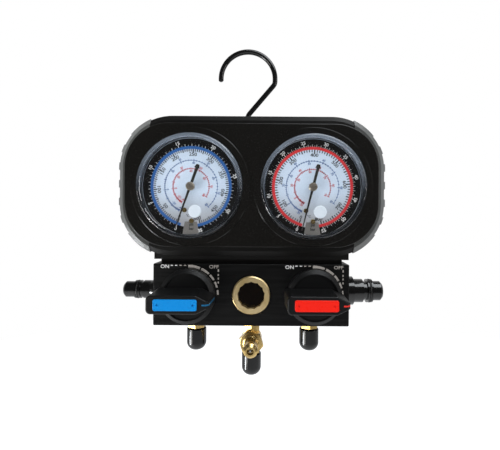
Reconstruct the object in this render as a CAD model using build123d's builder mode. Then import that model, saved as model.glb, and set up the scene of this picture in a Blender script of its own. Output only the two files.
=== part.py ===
"""Two-valve refrigerant manifold gauge set with two 80 mm gauges in a bumpered casing.

Frame: origin at the centre of the manifold block's back face, +Z up towards the hanging hook, front towards -Y.
X runs from the low-pressure side (negative) to the high-pressure side (positive).
A "height" in this file is a distance in front of the back face, along -Y.
All sizes are in millimetres.
"""

import os
from math import acos, atan2, cos, degrees, hypot, pi, radians, sin, sqrt, tan

from build123d import *

os.makedirs("parts", exist_ok=True)

SIDES = {"low": -1, "high": 1}
FIT = 0.05  # radial gap of a shaft that turns in its bore
STATIC_GAP = 0.1  # gap between two fixed pieces that fit into each other
FREE_GAP = 0.3  # gap between pieces that move past each other

# ---- Gauge places, which set the widths of the block and the casing ----
GAUGE_SPACING = 94.0
GAUGE_Z = 84.0
LENS_RADIUS = 40.0

# ---- Manifold block ----
BLOCK_WIDTH = GAUGE_SPACING + 58.6
BLOCK_DEPTH = 34.0
BLOCK_HEIGHT = 48.2
BLOCK_EDGE = 0.6
BLOCK_TOP = BLOCK_HEIGHT / 2
BLOCK_BOTTOM = -BLOCK_HEIGHT / 2
PIPE_HEIGHT = BLOCK_DEPTH / 2  # the ports and the gauge stems share the block's middle plane
GALLERY_HEIGHT = 12.0  # the gallery, the valve balls and the hose posts lie further back
PIPE_THREAD_RADIUS = 4.85
PIPE_THREAD_LENGTH = 10.0
GALLERY_RADIUS = 2.5
DRILLING_RADIUS = 2.0

# ---- Casing ----
CASING_WIDTH = GAUGE_SPACING + 2 * LENS_RADIUS + 33.0
CASING_HEIGHT = 2 * LENS_RADIUS + 29.8
CASING_CORNER = 41.0
CASING_CENTRE_Z = 85.0
CASING_DEPTH = 34.0
CASING_BACK_EDGE = 3.0
CASING_BACK_WALL = 2.4
CASING_INSET = 5.4  # casing wall with the bumper's seat
RIM_BEVEL_IN = 4.0
RIM_BEVEL_BACK = 2.8
RIM_LIP = 2.5
NECK_WIDTH = BLOCK_WIDTH + 0.2
NECK_HEIGHT = 31.0
NECK_WALL = 2.4
NECK_BOTTOM = 27.4
FOOT_WIDTH = NECK_WIDTH - 9.0
FOOT_HEIGHT = NECK_HEIGHT - 4.0

# ---- Rubber bumpers ----
BUMPER_SEAT = 3.0
BUMPER_PROUD = 1.0
BUMPER_BACK = 2.5
BUMPER_END_X = CASING_WIDTH / 2 - 24.7
RIB_COUNT = 5
RIB_PITCH = 13.9
RIB_LENGTH = 5.8
RIB_CENTRE_Z = 86.2

# ---- Front cover ----
COVER_WIDTH = CASING_WIDTH - 12.0
COVER_HEIGHT = CASING_HEIGHT - 14.6
COVER_CORNER = CASING_CORNER - 7.0
COVER_FRONT = 39.0
COVER_THICKNESS = 2.4
COVER_SKIRT = 2.0
COVER_SKIRT_BACK = 29.0
COVER_EDGE = 0.8
COVER_GAP = 0.3
RAISED_RING_RADIUS = LENS_RADIUS + 5.75
RAISED_RING_HEIGHT = 0.6

# ---- Casing screws ----
SCREW_X = CASING_WIDTH / 2 - 19.5
SCREW_Z = CASING_HEIGHT / 2 - 18.9
MIDDLE_SCREW_Z = SCREW_Z - 3.0
BOSS_RADIUS = 4.0
COVER_BOSS_RADIUS = 3.2
BOSS_SPLIT = 26.0
SCREW_SEAT = 22.0
SCREW_HEAD_RADIUS = 2.6
SCREW_HEAD_HEIGHT = 1.8
SCREW_SHANK_RADIUS = 1.4
SCREW_END = 34.0

# ---- Hook ----
HOOK_X = -4.0
HOOK_HEIGHT = 24.0
HOOK_ROD_RADIUS = 2.0
HOOK_LOOP_RADIUS = 21.7
HOOK_LOOP_Z = 172.0
HOOK_SHOULDER = 3.9
HOOK_SLANT = 49.9
HOOK_TIP_ANGLE = 186.0
HOOK_BEND_RADIUS = 6.0
HOOK_END_ROUNDING = 0.8
HOOK_NUT_FLATS = 7.0
HOOK_NUT_HEIGHT = 3.6
HOOK_TAIL = 1.5

# ---- Gauges ----
LENS_FRONT = 44.8
LENS_EDGE = 1.7
LENS_WALL = 1.8
LENS_WINDOW = 1.4
LENS_RECESS = 0.6
CASE_RADIUS = LENS_RADIUS - 1.0
CASE_WALL = 1.0
CASE_BACK = 8.0
CASE_FRONT = 35.2
CASE_FLANGE = 1.2
DIAL_RADIUS = LENS_RADIUS - 2.3
DIAL_FRONT = 34.8
DIAL_THICKNESS = 0.8
DIAL_HOLE_RADIUS = 2.2
DIAL_SCREWS = [(-5.0, -18.2), (0.5, -26.5)]
DIAL_SCREW_HEAD_RADIUS = 1.8
DIAL_SCREW_HEAD_HEIGHT = 0.9
DIAL_SCREW_RADIUS = 1.0
DIAL_SCREW_END = 26.0
DIAL_SCREW_SLOT = 0.5
PLUG_X = 4.7
PLUG_Z = -19.3
PLUG_HEAD_RADIUS = 4.8
PLUG_HEAD_HEIGHT = 1.0
PLUG_STEM_RADIUS = 3.3
PLUG_STEM_LENGTH = 3.2

# ---- Gauge stem and pressure tube ----
STEM_SHANK_RADIUS = 5.5
STEM_HEX_FLATS = 14.0
STEM_HEX_BOTTOM = 31.5
STEM_HEX_LENGTH = 9.0
SOCKET_WIDTH = 14.0
SOCKET_BACK = 10.0
SOCKET_FRONT = 30.6
SOCKET_BOTTOM = 2.5 - CASE_RADIUS
SOCKET_TOP = -13.0
STEM_BORE_RADIUS = 1.5
TUBE_RADIUS = 30.0
TUBE_THICKNESS = 3.0
TUBE_WIDTH = 10.0
TUBE_HEIGHT = 20.0
TUBE_ROUNDING = 1.3
TUBE_ROOT_ANGLE = 262.0
TUBE_POCKET_ARC = 15.0
TUBE_TIP_ANGLE = 5.0
TIP_BLOCK_ARC = 9.0
TIP_BLOCK_GROWTH = 0.5

# ---- Gauge movement ----
GEAR_MODULE = 0.4
PINION_TEETH = 10
SECTOR_FULL_TEETH = 90
SECTOR_TEETH = 14
SECTOR_TEETH_BEFORE = 11
PRESSURE_ANGLE = 25.0
PINION_ADDENDUM = 0.4
SECTOR_ADDENDUM = 0.3
PINION_DEDENDUM = 0.45
SECTOR_DEDENDUM = 0.5
TOOTH_BACKLASH = 0.06
PIVOT_ANGLE = 30.0
TAIL_LENGTH = 6.5
LINK_LENGTH = 14.0
LINK_ANGLE = 300.0
LINK_WIDTH = 3.4
LINK_THICKNESS = 0.6
LINK_SLOT_TRAVEL = 4.4
LINK_SLOT_HALF = 1.25
LINK_PIN_RADIUS = 0.8
SECTOR_BACK = 26.6
SECTOR_THICKNESS = 1.0
SECTOR_RIM = 2.4
SECTOR_ARM = 3.0
PINION_BACK = 25.8
PINION_LENGTH = 2.6
ARBOR_RADIUS = 0.8
REAR_PLATE_BACK = 22.0
PLATE_THICKNESS = 1.0
PILLAR_RADIUS = 1.5
PILLARS = [(4.0, 18.0), (10.5, -9.0)]

# ---- Pointers ----
POINTER_REST = {"low": 199.5, "high": 194.0}  # degrees clockwise from the top of the dial
POINTER_HEIGHT = 38.0
POINTER_THICKNESS = 0.5
POINTER_LENGTH = DIAL_RADIUS - 3.2
POINTER_ROOT_WIDTH = 2.0
POINTER_TIP_WIDTH = 0.6
POINTER_TAIL = 17.8
POINTER_TAIL_WIDTH = 2.2
POINTER_HEAD_LENGTH = 3.0
POINTER_HEAD_WIDTH = 4.2
HUB_RADIUS = 3.3
HUB_BACK = 37.0
HUB_FRONT = 40.0
HUB_RECESS_RADIUS = 0.8
HUB_RECESS_DEPTH = 0.5

# ---- Valves ----
VALVE_SPACING = GAUGE_SPACING + 3.0
VALVE_BORE_RADIUS = 7.0
VALVE_BORE_BOTTOM = GALLERY_HEIGHT - 8.0
BALL_RADIUS = 6.0
SEAT_GAP = 0.12
SEAT_INNER_REACH = 8.5
SEAT_OUTER_REACH = 12.0
SEAT_INNER_RADIUS = 4.45
SEAT_OUTER_RADIUS = 4.9
SEAT_START = 4.4
TANG_WIDTH = 2.8
TANG_BOTTOM = GALLERY_HEIGHT + 3.5
GLAND_RADIUS = 8.0
GLAND_BOTTOM = BLOCK_DEPTH - 8.4
GLAND_HEX_FLATS = 17.0
GLAND_HEX_HEIGHT = 4.3
SPINDLE_RADIUS = 4.0
SPINDLE_COLLAR_RADIUS = 5.5
SPINDLE_COLLAR_BOTTOM = GLAND_BOTTOM - 2.4
SPINDLE_SQUARE = 6.0
SPINDLE_SQUARE_BOTTOM = BLOCK_DEPTH + 7.0
SPINDLE_END = BLOCK_DEPTH + 23.6
ORING_HEIGHTS = [BLOCK_DEPTH - 6.0, BLOCK_DEPTH - 3.0]
ORING_SECTION = 0.55
ORING_GROOVE = 0.7

# ---- Knobs ----
KNOB_GAP = 0.8
KNOB_RADIUS = 21.0
KNOB_SKIRT = 9.5
KNOB_BEVEL = 2.6
KNOB_DISC_RADIUS = 17.5
KNOB_DISC_RECESS = 0.9
KNOB_CAVITY_RADIUS = 18.6
KNOB_CAVITY_DEPTH = 5.4
KNOB_TOP = BLOCK_DEPTH + 35.2
HANDLE_HALF_WIDTH = 7.2
HANDLE_BACK_END = 23.2
HANDLE_SHOULDER = 12.0
HANDLE_POINT = 21.6
HANDLE_POINT_BEVEL = 4.0
HANDLE_POINT_HALF = 2.4
HANDLE_TAPER = 1.5
HANDLE_CORNER = 4.0
HANDLE_EDGE = 1.2
INSERT_LENGTH = 30.0
INSERT_WIDTH = 7.9
INSERT_CORNER = 1.3
INSERT_THICKNESS = 1.5
INSERT_PROUD = 0.3
INSERT_SHIFT = 2.3
INSERT_DIMPLE_X = 12.2
INSERT_DIMPLE_RADIUS = 0.7
KNOB_SCREW_SEAT = SPINDLE_END + 2.8
KNOB_SCREW_HEAD_RADIUS = 3.4
KNOB_SCREW_HEAD_HEIGHT = 2.4
KNOB_SCREW_RADIUS = 1.9
KNOB_SCREW_END = SPINDLE_END - 12.0
KNOB_SCREW_SOCKET = 1.6

# ---- Sight glass ----
SIGHT_FACING_RADIUS = 15.6
SIGHT_FACING_DEPTH = 1.2
SIGHT_BORE_RADIUS = 12.0
SIGHT_BORE_BOTTOM = BLOCK_DEPTH - 10.0
SIGHT_CHAMBER_RADIUS = 8.5
SIGHT_CHAMBER_BOTTOM = GALLERY_HEIGHT - 4.0
SIGHT_RING_RADIUS = 14.75
SIGHT_RING_PROUD = 1.8
SIGHT_RING_POINT_RADIUS = 10.75
SIGHT_RING_LOBE_RADIUS = 10.1
SIGHT_RING_LOBES = 13
SIGHT_GLASS_BOTTOM = SIGHT_BORE_BOTTOM + 1.0
SIGHT_GLASS_TOP = SIGHT_GLASS_BOTTOM + 5.0

# ---- Ports and caps ----
PORT_SPACING = GAUGE_SPACING - 1.6
PORT_SHIFT = 1.0
PORT_HEX_FLATS = 12.7
PORT_HEX_LENGTH = 5.5
FLARE_RADIUS = 5.55
FLARE_LENGTH = 12.4
FLARE_CONE = 2.2
FLARE_TIP_RADIUS = 3.6
CAP_RADIUS = 7.9
CAP_LENGTH = 18.1
CAP_END_WALL = 3.2
CAP_END_ROUNDING = 6.5
CAP_RIM_ROUNDING = 1.0
TEE_Z = -40.0
TEE_HEX_FLATS = 17.5
TEE_HEX_TURN = -14.0
TEE_HEX_BACK = 20.0
TEE_HEX_FRONT = 27.0
TEE_HEX_CHAMFER = 1.0
TEE_FRONT = 45.7
TEE_BODY_RADIUS = 8.4
TEE_BODY_BACK = 9.0
TEE_COLLAR_RADIUS = 6.6
TEE_BOTTOM_HEX_LENGTH = 3.4
CORE_BORE_RADIUS = 2.6
CORE_BACK = 34.0
CORE_FRONT = 43.4
CORE_NECK_RADIUS = 1.5
CORE_PIN_RADIUS = 0.75
CORE_PIN_BACK = 32.0
CORE_PIN_FRONT = 44.6

# ---- Hose posts: (distance past the block's side, radius) along the outline ----
POST_STUD_RADIUS = 4.9
LOW_POST = {"flange": 11.0, "flange_end": 7.5, "cone": 7.3, "body": 7.5, "body_end": 13.5,
            "groove": 6.5, "groove_end": 16.0, "bead": 7.5, "bead_end": 20.7, "end": 6.5, "reach": 30.0}
HIGH_POST = {"flange": 11.75, "flange_end": 11.75, "cone": 7.2, "body": 9.65, "body_end": 15.4,
             "groove": 7.75, "groove_end": 19.0, "bead": 9.65, "bead_end": 23.3, "end": 8.0, "reach": 31.6}
POSTS = {"low": LOW_POST, "high": HIGH_POST}
POST_CHAMFER = 1.6
POST_RING_SECTION = 0.9
POST_RING_SQUEEZE = 0.3


# ---- Planes and section helpers ----
def front_plane(x, z, height=0.0, angle=0.0):
    """Plane that faces the front, at a height above the back face, its X turned by an angle."""
    turn = radians(angle)
    return Plane(origin=(x, -height, z), x_dir=(cos(turn), 0, sin(turn)), z_dir=(0, -1, 0))


def half_section(x, z):
    """Section plane of a piece turned about a front-to-back axis: (radius, height)."""
    return radial_section(x, z, 0)


def radial_section(x, z, angle):
    """Section plane (radius, height) at an angle round a front-to-back axis, counterclockwise from +X."""
    turn = radians(angle)
    return Plane(origin=(x, 0, z), x_dir=(cos(turn), 0, sin(turn)), z_dir=(sin(turn), 0, -cos(turn)))


def front_axis(x, z):
    """Axis from the back towards the front."""
    return Axis((x, 0, z), (0, -1, 0))


def upright_section(x):
    """Section plane of a piece turned about an upright pipe axis: (radius, z)."""
    return Plane(origin=(x, -PIPE_HEIGHT, 0), x_dir=(1, 0, 0), z_dir=(0, -1, 0))


def upright_axis(x):
    return Axis((x, -PIPE_HEIGHT, 0), (0, 0, 1))


def level_plane(x, z):
    """Plane that faces up, on the upright pipe axis."""
    return Plane(origin=(x, -PIPE_HEIGHT, z), x_dir=(1, 0, 0), z_dir=(0, 0, 1))


def side_plane(side, x):
    """Plane that faces out of one side, on the gallery's axis."""
    return Plane(origin=(side * x, -GALLERY_HEIGHT, 0), x_dir=(0, -1, 0), z_dir=(side, 0, 0))


gallery_axis = Axis((0, -GALLERY_HEIGHT, 0), (1, 0, 0))


def turned(points, plane, axis, arc=360.0, mode=Mode.ADD):
    """Turn a straight-sided half section about an axis."""
    with BuildSketch(plane) as section:
        with BuildLine():
            Polyline(*points, close=True)
        make_face()
    revolve(section.sketch, axis=axis, revolution_arc=arc, mode=mode)


def round_bar(plane, radius, length, mode=Mode.ADD):
    """Cylinder that stands on a plane."""
    with BuildSketch(plane) as section:
        Circle(radius)
    extrude(section.sketch, amount=length, mode=mode)


def hex_bar(plane, flats, length, turn=0.0, mode=Mode.ADD):
    """Hexagonal bar that stands on a plane, measured across its flats."""
    with BuildSketch(plane) as section:
        RegularPolygon(flats / 2, 6, major_radius=False, rotation=turn)
    extrude(section.sketch, amount=length, mode=mode)


def polar(radius, angle):
    return radius * cos(radians(angle)), radius * sin(radians(angle))


# ---- Casing form ----
def casing_outline(grow, depth=0.0):
    """Rounded outline of the casing, grown outwards by a distance."""
    return (CASING_WIDTH + 2 * grow, CASING_HEIGHT + 2 * grow, CASING_CORNER + grow)


def casing_envelope(grow):
    """Outer form of the casing: straight walls, a rounded back edge and a bevelled front rim."""
    with BuildPart() as envelope:
        with BuildSketch(front_plane(0, CASING_CENTRE_Z)):
            RectangleRounded(*casing_outline(grow))
        extrude(amount=CASING_DEPTH - RIM_BEVEL_BACK)
        fillet(envelope.edges().group_by(Axis.Y)[-1], CASING_BACK_EDGE)
        with BuildSketch(front_plane(0, CASING_CENTRE_Z, CASING_DEPTH - RIM_BEVEL_BACK)):
            RectangleRounded(*casing_outline(grow))
        with BuildSketch(front_plane(0, CASING_CENTRE_Z, CASING_DEPTH)):
            RectangleRounded(*casing_outline(grow - RIM_BEVEL_IN))
        loft()
    return envelope.part


opening_outline = (COVER_WIDTH + 2 * COVER_GAP, COVER_HEIGHT + 2 * COVER_GAP, COVER_CORNER + COVER_GAP)
valley_length = RIB_PITCH - RIB_LENGTH
first_valley = RIB_CENTRE_Z - CASING_CENTRE_Z - RIB_PITCH * RIB_COUNT / 2
valleys = [first_valley + RIB_PITCH * step for step in range(RIB_COUNT + 1)]

# ---- Rubber bumpers: a ribbed band in the casing's seat and a lip over its rim ----
bumpers = {}
for name, side in (("left", -1), ("right", 1)):
    with BuildPart() as bumper:
        with BuildSketch(front_plane(0, CASING_CENTRE_Z, BUMPER_BACK)):
            RectangleRounded(*casing_outline(BUMPER_PROUD))
            with Locations(*[(side * CASING_WIDTH / 2, valley) for valley in valleys]):
                Rectangle(CASING_CORNER, valley_length, mode=Mode.SUBTRACT)
            RectangleRounded(*casing_outline(0))
            RectangleRounded(*casing_outline(-BUMPER_SEAT), mode=Mode.SUBTRACT)
        extrude(amount=CASING_DEPTH - BUMPER_BACK)
        with BuildSketch(front_plane(0, CASING_CENTRE_Z, CASING_DEPTH - RIM_LIP)):
            RectangleRounded(*casing_outline(-BUMPER_SEAT))
            RectangleRounded(*opening_outline, mode=Mode.SUBTRACT)
        extrude(amount=RIM_LIP)
        add(casing_envelope(BUMPER_PROUD), mode=Mode.INTERSECT)
        with BuildSketch(front_plane(-side * (CASING_WIDTH / 2 - BUMPER_END_X), CASING_CENTRE_Z)):
            Rectangle(CASING_WIDTH + 2 * BUMPER_PROUD, CASING_HEIGHT + 4 * BUMPER_PROUD)
        extrude(amount=CASING_DEPTH, mode=Mode.SUBTRACT)
    bumper.part.label = f"{name}_bumper"
    export_step(bumper.part, f"parts/{name}_bumper.step")
    bumpers[name] = bumper.part

# ---- Rear casing: tray with a neck over the block, bosses and the hook's hole ----
cavity_outline = casing_outline(-CASING_INSET)
casing_top_wall = CASING_CENTRE_Z + CASING_HEIGHT / 2 - CASING_INSET
corner_screws = [(x, GAUGE_Z + z) for x in (-SCREW_X, SCREW_X) for z in (-SCREW_Z, SCREW_Z)]
middle_screws = [(0, GAUGE_Z - MIDDLE_SCREW_Z), (0, GAUGE_Z + MIDDLE_SCREW_Z)]
screw_places = corner_screws + middle_screws

with BuildPart() as rear_casing:
    add(casing_envelope(0))
    neck_length = CASING_CENTRE_Z - CASING_HEIGHT / 2 + CASING_INSET - NECK_BOTTOM
    with BuildSketch(front_plane(0, NECK_BOTTOM + neck_length / 2)):
        Rectangle(NECK_WIDTH, neck_length)
    extrude(amount=NECK_HEIGHT)
    with BuildSketch(front_plane(0, CASING_CENTRE_Z, CASING_BACK_WALL)):
        RectangleRounded(*cavity_outline)
    extrude(amount=CASING_DEPTH - RIM_LIP - CASING_BACK_WALL, mode=Mode.SUBTRACT)
    with BuildSketch(front_plane(0, CASING_CENTRE_Z, CASING_BACK_WALL)):
        RectangleRounded(*opening_outline)
    extrude(amount=CASING_DEPTH, mode=Mode.SUBTRACT)
    with BuildSketch(front_plane(0, NECK_BOTTOM + NECK_WALL + neck_length / 2, CASING_BACK_WALL)):
        Rectangle(NECK_WIDTH - 2 * NECK_WALL, neck_length)
    extrude(amount=NECK_HEIGHT - NECK_WALL - CASING_BACK_WALL, mode=Mode.SUBTRACT)
    foot_bottom = BLOCK_TOP + STATIC_GAP
    with BuildSketch(front_plane(0, (foot_bottom + NECK_BOTTOM + NECK_WALL) / 2)):
        Rectangle(FOOT_WIDTH, NECK_BOTTOM + NECK_WALL - foot_bottom)
    extrude(amount=FOOT_HEIGHT)
    with BuildSketch(front_plane(0, foot_bottom + NECK_WALL + neck_length / 2, CASING_BACK_WALL)):
        Rectangle(FOOT_WIDTH - 2 * NECK_WALL, neck_length)
    extrude(amount=FOOT_HEIGHT - NECK_WALL - CASING_BACK_WALL, mode=Mode.SUBTRACT)
    for bumper_part in bumpers.values():
        add(bumper_part, mode=Mode.SUBTRACT)
    with BuildSketch(front_plane(0, 0)):
        with Locations(*screw_places):
            Circle(BOSS_RADIUS)
    extrude(amount=BOSS_SPLIT)
    with BuildSketch(front_plane(0, 0)):
        with Locations(*screw_places):
            Circle(SCREW_HEAD_RADIUS + COVER_GAP)
    extrude(amount=SCREW_SEAT, mode=Mode.SUBTRACT)
    with BuildSketch(front_plane(0, 0)):
        with Locations(*screw_places):
            Circle(SCREW_SHANK_RADIUS + STATIC_GAP)
    extrude(amount=BOSS_SPLIT, mode=Mode.SUBTRACT)
    hook_hole = Plane(origin=(HOOK_X, -HOOK_HEIGHT, casing_top_wall - CASING_INSET), z_dir=(0, 0, 1))
    round_bar(hook_hole, HOOK_ROD_RADIUS + FIT, 3 * CASING_INSET, mode=Mode.SUBTRACT)
    for side in SIDES.values():
        stem_hole = level_plane(side * GAUGE_SPACING / 2, BLOCK_TOP)
        stem_hole_length = NECK_BOTTOM + 2 * NECK_WALL - BLOCK_TOP
        round_bar(stem_hole, STEM_SHANK_RADIUS + FREE_GAP, stem_hole_length, mode=Mode.SUBTRACT)
rear_casing.part.label = "rear_casing"
export_step(rear_casing.part, "parts/rear_casing.step")

# ---- Front cover: skirted plate with a raised ring round each gauge ----
with BuildPart() as front_cover:
    with BuildSketch(front_plane(0, CASING_CENTRE_Z, COVER_SKIRT_BACK)):
        RectangleRounded(COVER_WIDTH, COVER_HEIGHT, COVER_CORNER)
    extrude(amount=COVER_FRONT - COVER_SKIRT_BACK)
    fillet(front_cover.edges().group_by(Axis.Y)[0], COVER_EDGE)
    with BuildSketch(front_plane(0, CASING_CENTRE_Z, COVER_SKIRT_BACK)):
        RectangleRounded(COVER_WIDTH - 2 * COVER_SKIRT, COVER_HEIGHT - 2 * COVER_SKIRT, COVER_CORNER - COVER_SKIRT)
    extrude(amount=COVER_FRONT - COVER_THICKNESS - COVER_SKIRT_BACK, mode=Mode.SUBTRACT)
    with BuildSketch(front_plane(0, 0, BOSS_SPLIT)):
        with Locations(*screw_places):
            Circle(COVER_BOSS_RADIUS)
    extrude(amount=COVER_FRONT - COVER_THICKNESS - BOSS_SPLIT)
    with BuildSketch(front_plane(0, 0, BOSS_SPLIT)):
        with Locations(*screw_places):
            Circle(SCREW_SHANK_RADIUS + FIT)
    extrude(amount=SCREW_END + STATIC_GAP - BOSS_SPLIT, mode=Mode.SUBTRACT)
    for side in SIDES.values():
        gauge_x = side * GAUGE_SPACING / 2
        ring_section = [
            (0, COVER_FRONT - COVER_EDGE),
            (RAISED_RING_RADIUS, COVER_FRONT - COVER_EDGE),
            (RAISED_RING_RADIUS, COVER_FRONT),
            (RAISED_RING_RADIUS - RAISED_RING_HEIGHT, COVER_FRONT + RAISED_RING_HEIGHT),
            (0, COVER_FRONT + RAISED_RING_HEIGHT),
        ]
        turned(ring_section, half_section(gauge_x, GAUGE_Z), front_axis(gauge_x, GAUGE_Z))
    for side in SIDES.values():
        gauge_hole = front_plane(side * GAUGE_SPACING / 2, GAUGE_Z, COVER_SKIRT_BACK)
        round_bar(gauge_hole, LENS_RADIUS + COVER_GAP, 2 * COVER_FRONT, mode=Mode.SUBTRACT)
front_cover.part.label = "front_cover"
export_step(front_cover.part, "parts/front_cover.step")

# ---- Casing screws, driven from the back ----
with BuildPart() as casing_screws:
    with BuildSketch(front_plane(0, 0, SCREW_SEAT - SCREW_HEAD_HEIGHT)):
        with Locations(*screw_places):
            Circle(SCREW_HEAD_RADIUS)
    extrude(amount=SCREW_HEAD_HEIGHT)
    with BuildSketch(front_plane(0, 0, SCREW_SEAT)):
        with Locations(*screw_places):
            Circle(SCREW_SHANK_RADIUS)
    extrude(amount=SCREW_END - SCREW_SEAT)
    with BuildSketch(front_plane(0, 0, SCREW_SEAT - SCREW_HEAD_HEIGHT)):
        with Locations(*screw_places):
            Rectangle(SCREW_HEAD_RADIUS, SCREW_HEAD_RADIUS / 4)
            Rectangle(SCREW_HEAD_RADIUS / 4, SCREW_HEAD_RADIUS)
    extrude(amount=SCREW_HEAD_HEIGHT / 2, mode=Mode.SUBTRACT)
casing_screws.part.label = "casing_screws"
export_step(casing_screws.part, "parts/casing_screws.step")

# ---- Hook: bent rod with an open loop, free to swivel in the casing's top ----
shoulder_z = HOOK_LOOP_Z - HOOK_SHOULDER
hook_corner_z = shoulder_z - HOOK_LOOP_RADIUS * tan(radians(HOOK_SLANT))
hook_bottom = casing_top_wall - FREE_GAP - HOOK_NUT_HEIGHT - HOOK_TAIL
with BuildPart() as hook:
    with BuildLine(front_plane(HOOK_X, 0, HOOK_HEIGHT)) as hook_path:
        hook_corners = [
            (0, hook_bottom),
            (0, hook_corner_z),
            (HOOK_LOOP_RADIUS, shoulder_z),
            (HOOK_LOOP_RADIUS, HOOK_LOOP_Z),
        ]
        FilletPolyline(*hook_corners, radius=HOOK_BEND_RADIUS)
        CenterArc((0, HOOK_LOOP_Z), HOOK_LOOP_RADIUS, 0, HOOK_TIP_ANGLE)
    with BuildSketch(Plane(origin=(HOOK_X, -HOOK_HEIGHT, hook_bottom), z_dir=(0, 0, 1))):
        Circle(HOOK_ROD_RADIUS)
    sweep(path=hook_path.line)
    hook_ends = hook.faces().filter_by(GeomType.PLANE)
    chamfer(hook_ends.edges(), HOOK_END_ROUNDING)
hook.part.label = "hook"
export_step(hook.part, "parts/hook.step")

with BuildPart() as hook_nut:
    nut_bottom = casing_top_wall - FREE_GAP - HOOK_NUT_HEIGHT
    nut_plane = Plane(origin=(HOOK_X, -HOOK_HEIGHT, nut_bottom), z_dir=(0, 0, 1))
    hex_bar(nut_plane, HOOK_NUT_FLATS, HOOK_NUT_HEIGHT)
    round_bar(nut_plane, HOOK_ROD_RADIUS + FIT, HOOK_NUT_HEIGHT, mode=Mode.SUBTRACT)
hook_nut.part.label = "hook_nut"
export_step(hook_nut.part, "parts/hook_nut.step")

# ---- Gauge movement geometry, relative to the gauge's axis ----
pinion_pitch_radius = GEAR_MODULE * PINION_TEETH / 2
sector_pitch_radius = GEAR_MODULE * SECTOR_FULL_TEETH / 2
gear_distance = pinion_pitch_radius + sector_pitch_radius
pivot = polar(gear_distance, PIVOT_ANGLE)
tail_offset = polar(TAIL_LENGTH, PIVOT_ANGLE)
tail = (pivot[0] + tail_offset[0], pivot[1] + tail_offset[1])
link_offset = polar(LINK_LENGTH, LINK_ANGLE)
tube_pin = (tail[0] + link_offset[0], tail[1] + link_offset[1])
front_plate_back = SOCKET_FRONT
front_plate_front = front_plate_back + PLATE_THICKNESS


def involute(angle):
    return tan(angle) - angle


def tooth(teeth, addendum, dedendum, centre_angle):
    """Points of one gear tooth, from root to tip and back, counterclockwise."""
    pitch_radius = GEAR_MODULE * teeth / 2
    pressure = radians(PRESSURE_ANGLE)
    base_radius = pitch_radius * cos(pressure)
    root_radius = pitch_radius - dedendum
    tip_radius = pitch_radius + addendum
    half_thickness = pi / (2 * teeth) - TOOTH_BACKLASH / (2 * pitch_radius)
    flank_start = max(base_radius, root_radius)
    flank = []
    for step in range(4):
        radius = flank_start + (tip_radius - flank_start) * step / 3
        roll = acos(min(1.0, base_radius / radius))
        flank.append((radius, half_thickness + involute(pressure) - involute(roll)))
    profile = [(root_radius, flank[0][1])] + flank if root_radius < base_radius else flank
    rising = [(radius, -half) for radius, half in profile]
    falling = [(radius, half) for radius, half in reversed(profile)]
    middle = radians(centre_angle)
    return [(radius * cos(middle + half), radius * sin(middle + half)) for radius, half in rising + falling]


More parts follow.
